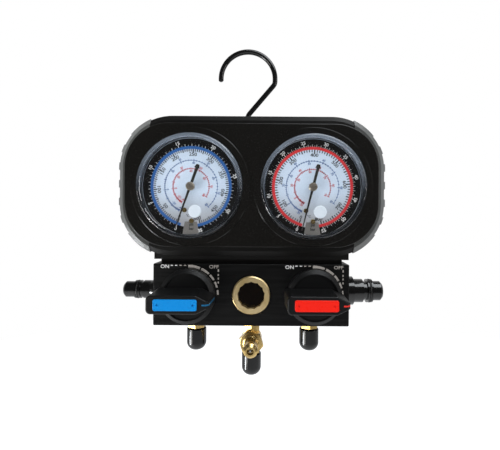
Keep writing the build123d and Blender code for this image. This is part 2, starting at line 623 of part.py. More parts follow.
for name, side in SIDES.items():
    gauge_x = side * GAUGE_SPACING / 2
    gauge_axis = front_axis(gauge_x, GAUGE_Z)
    gauge_section = half_section(gauge_x, GAUGE_Z)

    # Case: pan with a front flange that the lens sits on, open below for the stem.
    with BuildPart() as gauge_case:
        case_section = [
            (0, CASE_BACK),
            (CASE_RADIUS, CASE_BACK),
            (CASE_RADIUS, CASE_FRONT - CASE_FLANGE),
            (LENS_RADIUS, CASE_FRONT - CASE_FLANGE),
            (LENS_RADIUS, CASE_FRONT),
            (CASE_RADIUS - CASE_WALL, CASE_FRONT),
            (CASE_RADIUS - CASE_WALL, CASE_BACK + CASE_WALL),
            (0, CASE_BACK + CASE_WALL),
        ]
        turned(case_section, gauge_section, gauge_axis)
        stem_slot = level_plane(gauge_x, GAUGE_Z - CASE_RADIUS - CASE_WALL)
        round_bar(stem_slot, STEM_SHANK_RADIUS + FREE_GAP, 4 * CASE_WALL, mode=Mode.SUBTRACT)
    gauge_case.part.label = f"{name}_gauge_case"
    export_step(gauge_case.part, f"parts/{name}_gauge_case.step")

    # Lens: clear cap with a raised bevelled rim and a hole for the adjuster's plug.
    window_front = LENS_FRONT - LENS_RECESS
    with BuildPart() as lens:
        lens_section = [
            (0, window_front - LENS_WINDOW),
            (LENS_RADIUS - LENS_WALL, window_front - LENS_WINDOW),
            (LENS_RADIUS - LENS_WALL, CASE_FRONT),
            (LENS_RADIUS, CASE_FRONT),
            (LENS_RADIUS, LENS_FRONT),
            (LENS_RADIUS - LENS_WALL - 1.0, LENS_FRONT),
            (LENS_RADIUS - LENS_WALL - 1.0 - LENS_RECESS, window_front),
            (0, window_front),
        ]
        with BuildSketch(gauge_section) as lens_half:
            with BuildLine():
                Polyline(*lens_section, close=True)
            make_face()
            fillet(lens_half.vertices().group_by(Axis.Y)[-1].sort_by(Axis.X)[-1], LENS_EDGE)
        revolve(lens_half.sketch, axis=gauge_axis)
        plug_hole = front_plane(gauge_x + PLUG_X, GAUGE_Z + PLUG_Z, window_front - 2 * LENS_WINDOW)
        round_bar(plug_hole, PLUG_STEM_RADIUS + STATIC_GAP, 4 * LENS_WINDOW, mode=Mode.SUBTRACT)
    lens.part.label = f"{name}_lens"
    export_step(lens.part, f"parts/{name}_lens.step")

    # Plug: soft stopper over the zero adjuster.
    with BuildPart() as lens_plug:
        plug_section = [
            (0, window_front - PLUG_STEM_LENGTH),
            (PLUG_STEM_RADIUS - 0.6, window_front - PLUG_STEM_LENGTH),
            (PLUG_STEM_RADIUS, window_front - PLUG_STEM_LENGTH + 0.6),
            (PLUG_STEM_RADIUS, window_front),
            (PLUG_HEAD_RADIUS, window_front),
            (PLUG_HEAD_RADIUS, window_front + PLUG_HEAD_HEIGHT - 0.4),
            (PLUG_HEAD_RADIUS - 0.4, window_front + PLUG_HEAD_HEIGHT),
            (0, window_front + PLUG_HEAD_HEIGHT),
        ]
        plug_x = gauge_x + PLUG_X
        plug_z = GAUGE_Z + PLUG_Z
        turned(plug_section, half_section(plug_x, plug_z), front_axis(plug_x, plug_z))
    lens_plug.part.label = f"{name}_lens_plug"
    export_step(lens_plug.part, f"parts/{name}_lens_plug.step")

    # Dial: plate on the movement's standoffs.
    with BuildPart() as dial:
        dial_plane = front_plane(gauge_x, GAUGE_Z, DIAL_FRONT - DIAL_THICKNESS)
        with BuildSketch(dial_plane):
            Circle(DIAL_RADIUS)
            Circle(DIAL_HOLE_RADIUS, mode=Mode.SUBTRACT)
            with Locations(*DIAL_SCREWS):
                Circle(DIAL_SCREW_RADIUS + STATIC_GAP, mode=Mode.SUBTRACT)
        extrude(amount=DIAL_THICKNESS)
    dial.part.label = f"{name}_dial"
    export_step(dial.part, f"parts/{name}_dial.step")

    # Stem: pipe thread, shank, wrench hexagon and the socket block that carries tube and movement.
    stem_axis = upright_axis(gauge_x)
    with BuildPart() as gauge_stem:
        stem_section = [
            (0, BLOCK_TOP - PIPE_THREAD_LENGTH + STATIC_GAP),
            (PIPE_THREAD_RADIUS - FIT, BLOCK_TOP - PIPE_THREAD_LENGTH + STATIC_GAP),
            (PIPE_THREAD_RADIUS - FIT, BLOCK_TOP),
            (STEM_SHANK_RADIUS, BLOCK_TOP),
            (STEM_SHANK_RADIUS, GAUGE_Z + SOCKET_BOTTOM),
            (0, GAUGE_Z + SOCKET_BOTTOM),
        ]
        turned(stem_section, upright_section(gauge_x), stem_axis)
        hex_bar(level_plane(gauge_x, STEM_HEX_BOTTOM), STEM_HEX_FLATS, STEM_HEX_LENGTH)
        with BuildSketch(front_plane(gauge_x, GAUGE_Z + (SOCKET_BOTTOM + SOCKET_TOP) / 2, SOCKET_BACK)):
            Rectangle(SOCKET_WIDTH, SOCKET_TOP - SOCKET_BOTTOM)
        extrude(amount=SOCKET_FRONT - SOCKET_BACK)
        bore_plane = level_plane(gauge_x, BLOCK_TOP - PIPE_THREAD_LENGTH)
        bore_length = GAUGE_Z - TUBE_RADIUS - BLOCK_TOP + PIPE_THREAD_LENGTH
        round_bar(bore_plane, STEM_BORE_RADIUS, bore_length, mode=Mode.SUBTRACT)
        with BuildSketch(front_plane(gauge_x, GAUGE_Z, DIAL_SCREW_END - FREE_GAP)):
            with Locations(*DIAL_SCREWS):
                Circle(DIAL_SCREW_RADIUS + FIT)
        extrude(amount=SOCKET_FRONT, mode=Mode.SUBTRACT)
        pocket_plane = radial_section(gauge_x, GAUGE_Z, TUBE_ROOT_ANGLE + TUBE_POCKET_ARC / 10)
        with BuildSketch(pocket_plane) as pocket:
            with Locations((TUBE_RADIUS, TUBE_HEIGHT)):
                Rectangle(TUBE_THICKNESS + 2 * STATIC_GAP, TUBE_WIDTH + 2 * STATIC_GAP)
        revolve(pocket.sketch, axis=gauge_axis, revolution_arc=-TUBE_POCKET_ARC, mode=Mode.SUBTRACT)
    gauge_stem.part.label = f"{name}_gauge_stem"
    export_step(gauge_stem.part, f"parts/{name}_gauge_stem.step")

    # Pressure tube: flattened tube bent round the movement, with a tip block and its link pin.
    with BuildPart() as pressure_tube:
        root_plane = radial_section(gauge_x, GAUGE_Z, TUBE_ROOT_ANGLE)
        with BuildSketch(root_plane) as tube_section:
            with Locations((TUBE_RADIUS, TUBE_HEIGHT)):
                RectangleRounded(TUBE_THICKNESS, TUBE_WIDTH, TUBE_ROUNDING)
        revolve(tube_section.sketch, axis=gauge_axis, revolution_arc=TUBE_TIP_ANGLE - TUBE_ROOT_ANGLE)
        tip_plane = radial_section(gauge_x, GAUGE_Z, TUBE_TIP_ANGLE)
        with BuildSketch(tip_plane) as tip_section:
            with Locations((TUBE_RADIUS, TUBE_HEIGHT)):
                Rectangle(TUBE_THICKNESS + 2 * TIP_BLOCK_GROWTH, TUBE_WIDTH)
        revolve(tip_section.sketch, axis=gauge_axis, revolution_arc=-TIP_BLOCK_ARC)
        pin_plane = front_plane(gauge_x + tube_pin[0], GAUGE_Z + tube_pin[1], TUBE_HEIGHT)
        round_bar(pin_plane, LINK_PIN_RADIUS, SECTOR_BACK - TUBE_HEIGHT)
    pressure_tube.part.label = f"{name}_pressure_tube"
    export_step(pressure_tube.part, f"parts/{name}_pressure_tube.step")

    # Movement frame: two plates on pillars, a leg on the socket block and standoffs for the dial.
    with BuildPart() as movement_frame:
        plate_places = [(0, 0), pivot] + PILLARS
        for plate_back in (REAR_PLATE_BACK, front_plate_back):
            with BuildSketch(front_plane(gauge_x, GAUGE_Z, plate_back)) as plate:
                with Locations(*plate_places):
                    Circle(4 * ARBOR_RADIUS)
                make_hull()
            extrude(amount=PLATE_THICKNESS)
        with BuildSketch(front_plane(gauge_x, GAUGE_Z + SOCKET_TOP - 4 * ARBOR_RADIUS, front_plate_back)):
            Rectangle(SOCKET_WIDTH, 2 * abs(SOCKET_TOP) + 8 * ARBOR_RADIUS)
        extrude(amount=PLATE_THICKNESS)
        with BuildSketch(front_plane(gauge_x, GAUGE_Z, REAR_PLATE_BACK)):
            with Locations(*PILLARS):
                Circle(PILLAR_RADIUS)
        extrude(amount=front_plate_back - REAR_PLATE_BACK)
        with BuildSketch(front_plane(gauge_x, GAUGE_Z, front_plate_back)):
            with Locations(*DIAL_SCREWS):
                Circle(2 * DIAL_SCREW_RADIUS)
        extrude(amount=DIAL_FRONT - DIAL_THICKNESS - front_plate_back)
        with BuildSketch(front_plane(gauge_x, GAUGE_Z, REAR_PLATE_BACK)):
            with Locations((0, 0), pivot):
                Circle(ARBOR_RADIUS + FIT)
        extrude(amount=DIAL_FRONT, mode=Mode.SUBTRACT)
        with BuildSketch(front_plane(gauge_x, GAUGE_Z, front_plate_back)):
            with Locations(*DIAL_SCREWS):
                Circle(DIAL_SCREW_RADIUS + FIT)
        extrude(amount=DIAL_FRONT, mode=Mode.SUBTRACT)
    movement_frame.part.label = f"{name}_movement_frame"
    export_step(movement_frame.part, f"parts/{name}_movement_frame.step")

    # Sector gear: toothed arc on two arms, its arbor, and a tail with the link's pin.
    pivot_x = gauge_x + pivot[0]
    pivot_z = GAUGE_Z + pivot[1]
    tooth_step = 360 / SECTOR_FULL_TEETH
    mesh_angle = PIVOT_ANGLE + 180
    sector_angles = [mesh_angle + (index - SECTOR_TEETH_BEFORE) * tooth_step for index in range(SECTOR_TEETH)]
    with BuildPart() as sector_gear:
        with BuildSketch(front_plane(pivot_x, pivot_z, SECTOR_BACK)) as sector_face:
            with BuildLine():
                outline = []
                for angle in sector_angles:
                    outline += tooth(SECTOR_FULL_TEETH, SECTOR_ADDENDUM, SECTOR_DEDENDUM, angle)
                rim_radius = sector_pitch_radius - SECTOR_DEDENDUM - SECTOR_RIM
                rim_angles = [sector_angles[-1], (sector_angles[0] + sector_angles[-1]) / 2, sector_angles[0]]
                rim = [polar(rim_radius, angle) for angle in rim_angles]
                Polyline(*outline)
                Line(outline[-1], rim[0])
                ThreePointArc(*rim)
                Line(rim[2], outline[0])
            make_face()
            for angle in (sector_angles[1], sector_angles[-2]):
                arm_end = polar(rim_radius + SECTOR_RIM / 2, angle)
                with BuildLine():
                    arm_half = SECTOR_ARM / 3
                    across = polar(arm_half, angle + 90)
                    arm_points = [
                        (across[0], across[1]),
                        (-across[0], -across[1]),
                        (arm_end[0] - across[0], arm_end[1] - across[1]),
                        (arm_end[0] + across[0], arm_end[1] + across[1]),
                    ]
                    Polyline(*arm_points, close=True)
                make_face()
            Circle(3 * ARBOR_RADIUS)
            with Locations(tail_offset):
                Circle(LINK_WIDTH / 2)
            with Locations((tail_offset[0] / 2, tail_offset[1] / 2)):
                Rectangle(TAIL_LENGTH, LINK_WIDTH - 1, rotation=PIVOT_ANGLE)
        extrude(amount=SECTOR_THICKNESS)
        arbor_plane = front_plane(pivot_x, pivot_z, REAR_PLATE_BACK)
        round_bar(arbor_plane, ARBOR_RADIUS, front_plate_front - REAR_PLATE_BACK)
        pin_back = SECTOR_BACK - LINK_THICKNESS - 2 * FREE_GAP
        pin_plane = front_plane(gauge_x + tail[0], GAUGE_Z + tail[1], pin_back)
        round_bar(pin_plane, LINK_PIN_RADIUS, SECTOR_BACK - pin_back)
    sector_gear.part.label = f"{name}_sector_gear"
    export_step(sector_gear.part, f"parts/{name}_sector_gear.step")

    # Link: strip from the sector's tail to the tube's pin, with a slot for setting the span.
    link_plane = front_plane(gauge_x + tail[0], GAUGE_Z + tail[1], SECTOR_BACK - FREE_GAP - LINK_THICKNESS, LINK_ANGLE)
    with BuildPart() as link:
        with BuildSketch(link_plane):
            link_end = LINK_LENGTH + LINK_SLOT_TRAVEL
            with Locations((link_end / 2, 0)):
                SlotCenterToCenter(link_end, LINK_WIDTH + 1)
            Circle(LINK_PIN_RADIUS + FIT, mode=Mode.SUBTRACT)
            with Locations((LINK_LENGTH + LINK_SLOT_TRAVEL / 2, 0)):
                SlotCenterToCenter(LINK_SLOT_TRAVEL, 2 * LINK_SLOT_HALF, mode=Mode.SUBTRACT)
        extrude(amount=LINK_THICKNESS)
    link.part.label = f"{name}_link"
    export_step(link.part, f"parts/{name}_link.step")

    # Pinion: toothed arbor from the rear plate to the pointer's hub.
    with BuildPart() as pinion:
        with BuildSketch(front_plane(gauge_x, GAUGE_Z, PINION_BACK)):
            with BuildLine():
                outline = []
                for index in range(PINION_TEETH):
                    angle = PIVOT_ANGLE + (index + 0.5) * 360 / PINION_TEETH
                    outline += tooth(PINION_TEETH, PINION_ADDENDUM, PINION_DEDENDUM, angle)
                Polyline(*outline, close=True)
            make_face()
        extrude(amount=PINION_LENGTH)
        arbor_section = [
            (0, REAR_PLATE_BACK),
            (ARBOR_RADIUS, REAR_PLATE_BACK),
            (ARBOR_RADIUS, HUB_BACK),
            (HUB_RADIUS, HUB_BACK),
            (HUB_RADIUS, HUB_FRONT - 0.6),
            (HUB_RADIUS - 0.6, HUB_FRONT),
            (HUB_RECESS_RADIUS, HUB_FRONT),
            (HUB_RECESS_RADIUS, HUB_FRONT - HUB_RECESS_DEPTH),
            (0, HUB_FRONT - HUB_RECESS_DEPTH),
        ]
        turned(arbor_section, gauge_section, gauge_axis)
        hub_groove = front_plane(gauge_x, GAUGE_Z, POINTER_HEIGHT)
        with BuildSketch(hub_groove):
            Circle(HUB_RADIUS)
            Circle(HUB_RADIUS - 1, mode=Mode.SUBTRACT)
        extrude(amount=POINTER_THICKNESS, mode=Mode.SUBTRACT)
    pinion.part.label = f"{name}_pinion"
    export_step(pinion.part, f"parts/{name}_pinion.step")

    # Pointer: thin plate clamped in the hub's groove.
    pointer_plane = front_plane(gauge_x, GAUGE_Z, POINTER_HEIGHT, 90 - POINTER_REST[name])
    with BuildPart() as pointer:
        with BuildSketch(pointer_plane):
            with BuildLine():
                head_base = -(POINTER_TAIL - POINTER_HEAD_LENGTH)
                pointer_outline = [
                    (POINTER_LENGTH, POINTER_TIP_WIDTH / 2),
                    (0, POINTER_ROOT_WIDTH / 2),
                    (head_base, POINTER_TAIL_WIDTH / 2),
                    (head_base, POINTER_HEAD_WIDTH / 2),
                    (-POINTER_TAIL, POINTER_TAIL_WIDTH / 2),
                    (-POINTER_TAIL, -POINTER_TAIL_WIDTH / 2),
                    (head_base, -POINTER_HEAD_WIDTH / 2),
                    (head_base, -POINTER_TAIL_WIDTH / 2),
                    (0, -POINTER_ROOT_WIDTH / 2),
                    (POINTER_LENGTH, -POINTER_TIP_WIDTH / 2),
                ]
                Polyline(*pointer_outline, close=True)
            make_face()
            Circle(HUB_RADIUS - FIT)
            Circle(HUB_RADIUS - 1 + FIT, mode=Mode.SUBTRACT)
        extrude(amount=POINTER_THICKNESS)
    pointer.part.label = f"{name}_pointer"
    export_step(pointer.part, f"parts/{name}_pointer.step")

# ---- Dial screws of both gauges ----
with BuildPart() as dial_screws:
    for side in SIDES.values():
        for screw_x, screw_z in DIAL_SCREWS:
            place_x = side * GAUGE_SPACING / 2 + screw_x
            place_z = GAUGE_Z + screw_z
            round_bar(front_plane(place_x, place_z, DIAL_FRONT), DIAL_SCREW_HEAD_RADIUS, DIAL_SCREW_HEAD_HEIGHT)
            round_bar(front_plane(place_x, place_z, DIAL_SCREW_END), DIAL_SCREW_RADIUS, DIAL_FRONT - DIAL_SCREW_END)
            slot_height = DIAL_FRONT + DIAL_SCREW_HEAD_HEIGHT / 2
            with BuildSketch(front_plane(place_x, place_z, slot_height, 30)):
                Rectangle(3 * DIAL_SCREW_HEAD_RADIUS, DIAL_SCREW_SLOT)
            extrude(amount=DIAL_SCREW_HEAD_HEIGHT, mode=Mode.SUBTRACT)
dial_screws.part.label = "dial_screws"
export_step(dial_screws.part, "parts/dial_screws.step")

# ---- Manifold block with its drillings ----
valve_x = VALVE_SPACING / 2
with BuildPart() as manifold_block:
    with BuildSketch(front_plane(0, 0)):
        Rectangle(BLOCK_WIDTH, BLOCK_HEIGHT)
    extrude(amount=BLOCK_DEPTH)
    chamfer(manifold_block.edges(), BLOCK_EDGE)
    sight_section = [
        (0, SIGHT_CHAMBER_BOTTOM),
        (SIGHT_CHAMBER_RADIUS, SIGHT_CHAMBER_BOTTOM),
        (SIGHT_CHAMBER_RADIUS, SIGHT_BORE_BOTTOM),
        (SIGHT_BORE_RADIUS, SIGHT_BORE_BOTTOM),
        (SIGHT_BORE_RADIUS, BLOCK_DEPTH - SIGHT_FACING_DEPTH),
        (SIGHT_FACING_RADIUS, BLOCK_DEPTH - SIGHT_FACING_DEPTH),
        (SIGHT_FACING_RADIUS, BLOCK_DEPTH),
        (0, BLOCK_DEPTH),
    ]
    turned(sight_section, half_section(0, 0), front_axis(0, 0), mode=Mode.SUBTRACT)
    valve_section = [
        (0, VALVE_BORE_BOTTOM),
        (VALVE_BORE_RADIUS, VALVE_BORE_BOTTOM),
        (VALVE_BORE_RADIUS, GLAND_BOTTOM),
        (GLAND_RADIUS, GLAND_BOTTOM),
        (GLAND_RADIUS, BLOCK_DEPTH),
        (0, BLOCK_DEPTH),
    ]
    for side in SIDES.values():
        valve_side_x = side * valve_x
        turned(valve_section, half_section(valve_side_x, 0), front_axis(valve_side_x, 0), mode=Mode.SUBTRACT)
        round_bar(side_plane(side, 0), GALLERY_RADIUS, valve_x, mode=Mode.SUBTRACT)
        round_bar(side_plane(side, valve_x), POST_STUD_RADIUS + FIT, BLOCK_WIDTH, mode=Mode.SUBTRACT)
        seat_pocket = side_plane(side, valve_x - SEAT_INNER_REACH)
        round_bar(seat_pocket, SEAT_INNER_RADIUS + FIT, SEAT_INNER_REACH, mode=Mode.SUBTRACT)
        gauge_port = level_plane(side * GAUGE_SPACING / 2, BLOCK_TOP - PIPE_THREAD_LENGTH)
        round_bar(gauge_port, PIPE_THREAD_RADIUS, BLOCK_HEIGHT, mode=Mode.SUBTRACT)
        round_bar(level_plane(side * GAUGE_SPACING / 2, 0), STEM_BORE_RADIUS, BLOCK_TOP, mode=Mode.SUBTRACT)
    for port_x in (PORT_SHIFT - PORT_SPACING / 2, 0, PORT_SHIFT + PORT_SPACING / 2):
        port_thread = level_plane(port_x, BLOCK_BOTTOM)
        round_bar(port_thread, PIPE_THREAD_RADIUS, PIPE_THREAD_LENGTH, mode=Mode.SUBTRACT)
        round_bar(port_thread, DRILLING_RADIUS, BLOCK_HEIGHT / 2, mode=Mode.SUBTRACT)
manifold_block.part.label = "manifold_block"
export_step(manifold_block.part, "parts/manifold_block.step")

# ---- Sight glass: seal, glass and a brass ring with scalloped wrench points ----
with BuildPart() as sight_ring:
    ring_front = BLOCK_DEPTH + SIGHT_RING_PROUD
    ring_section = [
        (0, SIGHT_GLASS_TOP),
        (SIGHT_BORE_RADIUS - FIT, SIGHT_GLASS_TOP),
        (SIGHT_BORE_RADIUS - FIT, BLOCK_DEPTH - SIGHT_FACING_DEPTH),
        (SIGHT_RING_RADIUS, BLOCK_DEPTH - SIGHT_FACING_DEPTH),
        (SIGHT_RING_RADIUS, ring_front - 0.8),
        (SIGHT_RING_RADIUS - 0.8, ring_front),
        (0, ring_front),
    ]
    turned(ring_section, half_section(0, 0), front_axis(0, 0))
    lobe_angle = 360 / SIGHT_RING_LOBES
    with BuildSketch(front_plane(0, 0, SIGHT_GLASS_TOP)):
        with BuildLine():
            for index in range(SIGHT_RING_LOBES):
                start_angle = 90 + index * lobe_angle
                start = polar(SIGHT_RING_POINT_RADIUS, start_angle)
                middle = polar(SIGHT_RING_LOBE_RADIUS, start_angle + lobe_angle / 2)
                end = polar(SIGHT_RING_POINT_RADIUS, start_angle + lobe_angle)
                ThreePointArc(start, middle, end)
        make_face()
    extrude(amount=ring_front, mode=Mode.SUBTRACT)
sight_ring.part.label = "sight_ring"
export_step(sight_ring.part, "parts/sight_ring.step")

with BuildPart() as sight_glass:
    glass_radius = SIGHT_BORE_RADIUS - STATIC_GAP
    glass_section = [
        (0, SIGHT_GLASS_BOTTOM),
        (glass_radius, SIGHT_GLASS_BOTTOM),
        (glass_radius, SIGHT_GLASS_TOP),
        (0, SIGHT_GLASS_TOP),
    ]
    turned(glass_section, half_section(0, 0), front_axis(0, 0))
sight_glass.part.label = "sight_glass"
export_step(sight_glass.part, "parts/sight_glass.step")

with BuildPart() as sight_seal:
    seal_inner = SIGHT_CHAMBER_RADIUS + FREE_GAP
    seal_outer = SIGHT_BORE_RADIUS - STATIC_GAP
    seal_section = [
        (seal_inner, SIGHT_BORE_BOTTOM),
        (seal_outer, SIGHT_BORE_BOTTOM),
        (seal_outer, SIGHT_GLASS_BOTTOM),
        (seal_inner, SIGHT_GLASS_BOTTOM),
    ]
    turned(seal_section, half_section(0, 0), front_axis(0, 0))
sight_seal.part.label = "sight_seal"
export_step(sight_seal.part, "parts/sight_seal.step")

# ---- Valve seats of both valves: cupped rings on either side of the ball ----
seat_sizes = [(-1, SEAT_INNER_RADIUS, SEAT_INNER_REACH), (1, SEAT_OUTER_RADIUS, SEAT_OUTER_REACH)]
with BuildPart() as valve_seats:
    for side in SIDES.values():
        for outward, radius, reach in seat_sizes:
            with BuildSketch(front_plane(side * valve_x, 0, GALLERY_HEIGHT)) as seat:
                seat_middle = side * outward * (SEAT_START + reach) / 2
                with Locations((seat_middle, (GALLERY_RADIUS + radius) / 2)):
                    Rectangle(reach - SEAT_START, radius - GALLERY_RADIUS)
                Circle(BALL_RADIUS + SEAT_GAP, mode=Mode.SUBTRACT)
            revolve(seat.sketch, axis=gallery_axis)
valve_seats.part.label = "valve_seats"
export_step(valve_seats.part, "parts/valve_seats.step")

# ---- Gland nuts of both valves ----
with BuildPart() as gland_nuts:
    for side in SIDES.values():
        nut_x = side * valve_x
        round_bar(front_plane(nut_x, 0, GLAND_BOTTOM), GLAND_RADIUS - FIT, BLOCK_DEPTH - GLAND_BOTTOM)
        hex_bar(front_plane(nut_x, 0, BLOCK_DEPTH), GLAND_HEX_FLATS, GLAND_HEX_HEIGHT)
        gland_bore = front_plane(nut_x, 0, GLAND_BOTTOM)
        round_bar(gland_bore, SPINDLE_RADIUS + FIT, BLOCK_DEPTH, mode=Mode.SUBTRACT)
gland_nuts.part.label = "gland_nuts"
export_step(gland_nuts.part, "parts/gland_nuts.step")

# ---- Valve spindles, balls, seals and knobs: each side turns as one ----
knob_base = BLOCK_DEPTH + KNOB_GAP
for name, side in SIDES.items():
    knob_x = side * valve_x
    knob_axis = front_axis(knob_x, 0)
    knob_section_plane = half_section(knob_x, 0)

    # Ball: drilled across, with a slot for the spindle's tang. The bore is upright when closed.
    with BuildPart() as valve_ball:
        with Locations((knob_x, -GALLERY_HEIGHT, 0)):
            Sphere(BALL_RADIUS)
        ball_bore = Plane(origin=(knob_x, -GALLERY_HEIGHT, -BALL_RADIUS), z_dir=(0, 0, 1))
        round_bar(ball_bore, GALLERY_RADIUS, 2 * BALL_RADIUS, mode=Mode.SUBTRACT)
        with BuildSketch(front_plane(knob_x, 0, TANG_BOTTOM)):
            Rectangle(TANG_WIDTH + 2 * STATIC_GAP, 2 * BALL_RADIUS)
        extrude(amount=BALL_RADIUS, mode=Mode.SUBTRACT)
    valve_ball.part.label = f"{name}_valve_ball"
    export_step(valve_ball.part, f"parts/{name}_valve_ball.step")

    # Spindle: tang, collar under the gland, grooved shaft and a square for the knob.
    spindle_foot = GALLERY_HEIGHT + BALL_RADIUS + 2 * STATIC_GAP
    with BuildPart() as spindle:
        spindle_section = [
            (0, spindle_foot),
            (SPINDLE_RADIUS, spindle_foot),
            (SPINDLE_RADIUS, SPINDLE_COLLAR_BOTTOM),
            (SPINDLE_COLLAR_RADIUS, SPINDLE_COLLAR_BOTTOM),
            (SPINDLE_COLLAR_RADIUS, GLAND_BOTTOM - FREE_GAP),
            (SPINDLE_RADIUS, GLAND_BOTTOM - FREE_GAP),
        ]
        groove_radius = SPINDLE_RADIUS - 2 * ORING_SECTION - FIT
        for groove_height in ORING_HEIGHTS:
            spindle_section += [
                (SPINDLE_RADIUS, groove_height - ORING_GROOVE),
                (groove_radius, groove_height - ORING_GROOVE),
                (groove_radius, groove_height + ORING_GROOVE),
                (SPINDLE_RADIUS, groove_height + ORING_GROOVE),
            ]
        spindle_section += [(SPINDLE_RADIUS, SPINDLE_SQUARE_BOTTOM), (0, SPINDLE_SQUARE_BOTTOM)]
        turned(spindle_section, knob_section_plane, knob_axis)
        with BuildSketch(front_plane(knob_x, 0, TANG_BOTTOM + STATIC_GAP)):
            Rectangle(TANG_WIDTH, 1.6 * SPINDLE_RADIUS)
        extrude(amount=spindle_foot - TANG_BOTTOM)
        with BuildSketch(front_plane(knob_x, 0, SPINDLE_SQUARE_BOTTOM)):
            Rectangle(SPINDLE_SQUARE, SPINDLE_SQUARE)
        extrude(amount=SPINDLE_END - SPINDLE_SQUARE_BOTTOM)
        screw_bore = front_plane(knob_x, 0, KNOB_SCREW_END - STATIC_GAP)
        round_bar(screw_bore, KNOB_SCREW_RADIUS + FIT, SPINDLE_END, mode=Mode.SUBTRACT)
    spindle.part.label = f"{name}_spindle"
    export_step(spindle.part, f"parts/{name}_spindle.step")

    with BuildPart() as spindle_seals:
        for ring_height in ORING_HEIGHTS:
            with BuildSketch(knob_section_plane) as ring:
                with Locations((SPINDLE_RADIUS - ORING_SECTION, ring_height)):
                    Circle(ORING_SECTION)
            revolve(ring.sketch, axis=knob_axis)
    spindle_seals.part.label = f"{name}_spindle_seals"
    export_step(spindle_seals.part, f"parts/{name}_spindle_seals.step")

    # Knob: bevelled skirt, recessed disc and a bar handle that ends in a pointer.
    with BuildPart() as knob:
        skirt_section = [
            (0, knob_base),
            (KNOB_RADIUS, knob_base),
            (KNOB_RADIUS, knob_base + KNOB_SKIRT - KNOB_BEVEL),
            (KNOB_DISC_RADIUS + 0.6, knob_base + KNOB_SKIRT),
            (KNOB_DISC_RADIUS, knob_base + KNOB_SKIRT),
            (KNOB_DISC_RADIUS, knob_base + KNOB_SKIRT - KNOB_DISC_RECESS),
            (0, knob_base + KNOB_SKIRT - KNOB_DISC_RECESS),
        ]
        turned(skirt_section, knob_section_plane, knob_axis)
        with BuildSketch(front_plane(knob_x, 0, knob_base + KNOB_CAVITY_DEPTH)) as handle_base:
            with BuildLine():
                handle_outline = [
                    (HANDLE_SHOULDER, HANDLE_HALF_WIDTH),
                    (-HANDLE_BACK_END, HANDLE_HALF_WIDTH),
                    (-HANDLE_BACK_END, -HANDLE_HALF_WIDTH),
                    (HANDLE_SHOULDER, -HANDLE_HALF_WIDTH),
                    (HANDLE_POINT, -HANDLE_POINT_HALF),
                    (HANDLE_POINT, HANDLE_POINT_HALF),
                ]
                Polyline(*handle_outline, close=True)
            make_face()
            fillet(handle_base.vertices().group_by(Axis.X)[0], HANDLE_CORNER)
        extrude(amount=KNOB_TOP - knob_base - KNOB_CAVITY_DEPTH, taper=HANDLE_TAPER)
        fillet(knob.faces().sort_by(Axis.Y)[0].edges(), HANDLE_EDGE)
        with BuildSketch(knob_section_plane):
            with BuildLine():
                point_bevel = [
                    (HANDLE_POINT - 3 * HANDLE_POINT_BEVEL / 4, KNOB_TOP),
                    (HANDLE_POINT + HANDLE_POINT_BEVEL / 4, KNOB_TOP - HANDLE_POINT_BEVEL),
                    (HANDLE_POINT + HANDLE_POINT_BEVEL / 4, KNOB_TOP),
                ]
                Polyline(*point_bevel, close=True)
            make_face()
        extrude(amount=HANDLE_HALF_WIDTH, both=True, mode=Mode.SUBTRACT)
        cavity_section = [
            (SPINDLE_RADIUS + 3, knob_base),
            (KNOB_CAVITY_RADIUS, knob_base),
            (KNOB_CAVITY_RADIUS, knob_base + KNOB_CAVITY_DEPTH),
            (0, knob_base + KNOB_CAVITY_DEPTH),
            (0, knob_base),
        ]
        turned(cavity_section, knob_section_plane, knob_axis, mode=Mode.SUBTRACT)
        round_bar(front_plane(knob_x, 0, knob_base), SPINDLE_RADIUS + FIT,
                  SPINDLE_SQUARE_BOTTOM + STATIC_GAP - knob_base, mode=Mode.SUBTRACT)
        with BuildSketch(front_plane(knob_x, 0, SPINDLE_SQUARE_BOTTOM)):
            Rectangle(SPINDLE_SQUARE + 2 * FIT, SPINDLE_SQUARE + 2 * FIT)
        extrude(amount=SPINDLE_END + STATIC_GAP - SPINDLE_SQUARE_BOTTOM, mode=Mode.SUBTRACT)
        round_bar(front_plane(knob_x, 0, SPINDLE_END), KNOB_SCREW_RADIUS + STATIC_GAP,
                  KNOB_TOP - SPINDLE_END, mode=Mode.SUBTRACT)
        round_bar(front_plane(knob_x, 0, KNOB_SCREW_SEAT), KNOB_SCREW_HEAD_RADIUS + STATIC_GAP,
                  KNOB_TOP - KNOB_SCREW_SEAT, mode=Mode.SUBTRACT)
        insert_floor = KNOB_TOP + INSERT_PROUD - INSERT_THICKNESS
        with BuildSketch(front_plane(knob_x - INSERT_SHIFT, 0, insert_floor)):
            pocket_length = INSERT_LENGTH + 2 * STATIC_GAP
            RectangleRounded(pocket_length, INSERT_WIDTH + 2 * STATIC_GAP, INSERT_CORNER + STATIC_GAP)
        extrude(amount=INSERT_THICKNESS, mode=Mode.SUBTRACT)
    knob.part.label = f"{name}_knob"
    export_step(knob.part, f"parts/{name}_knob.step")

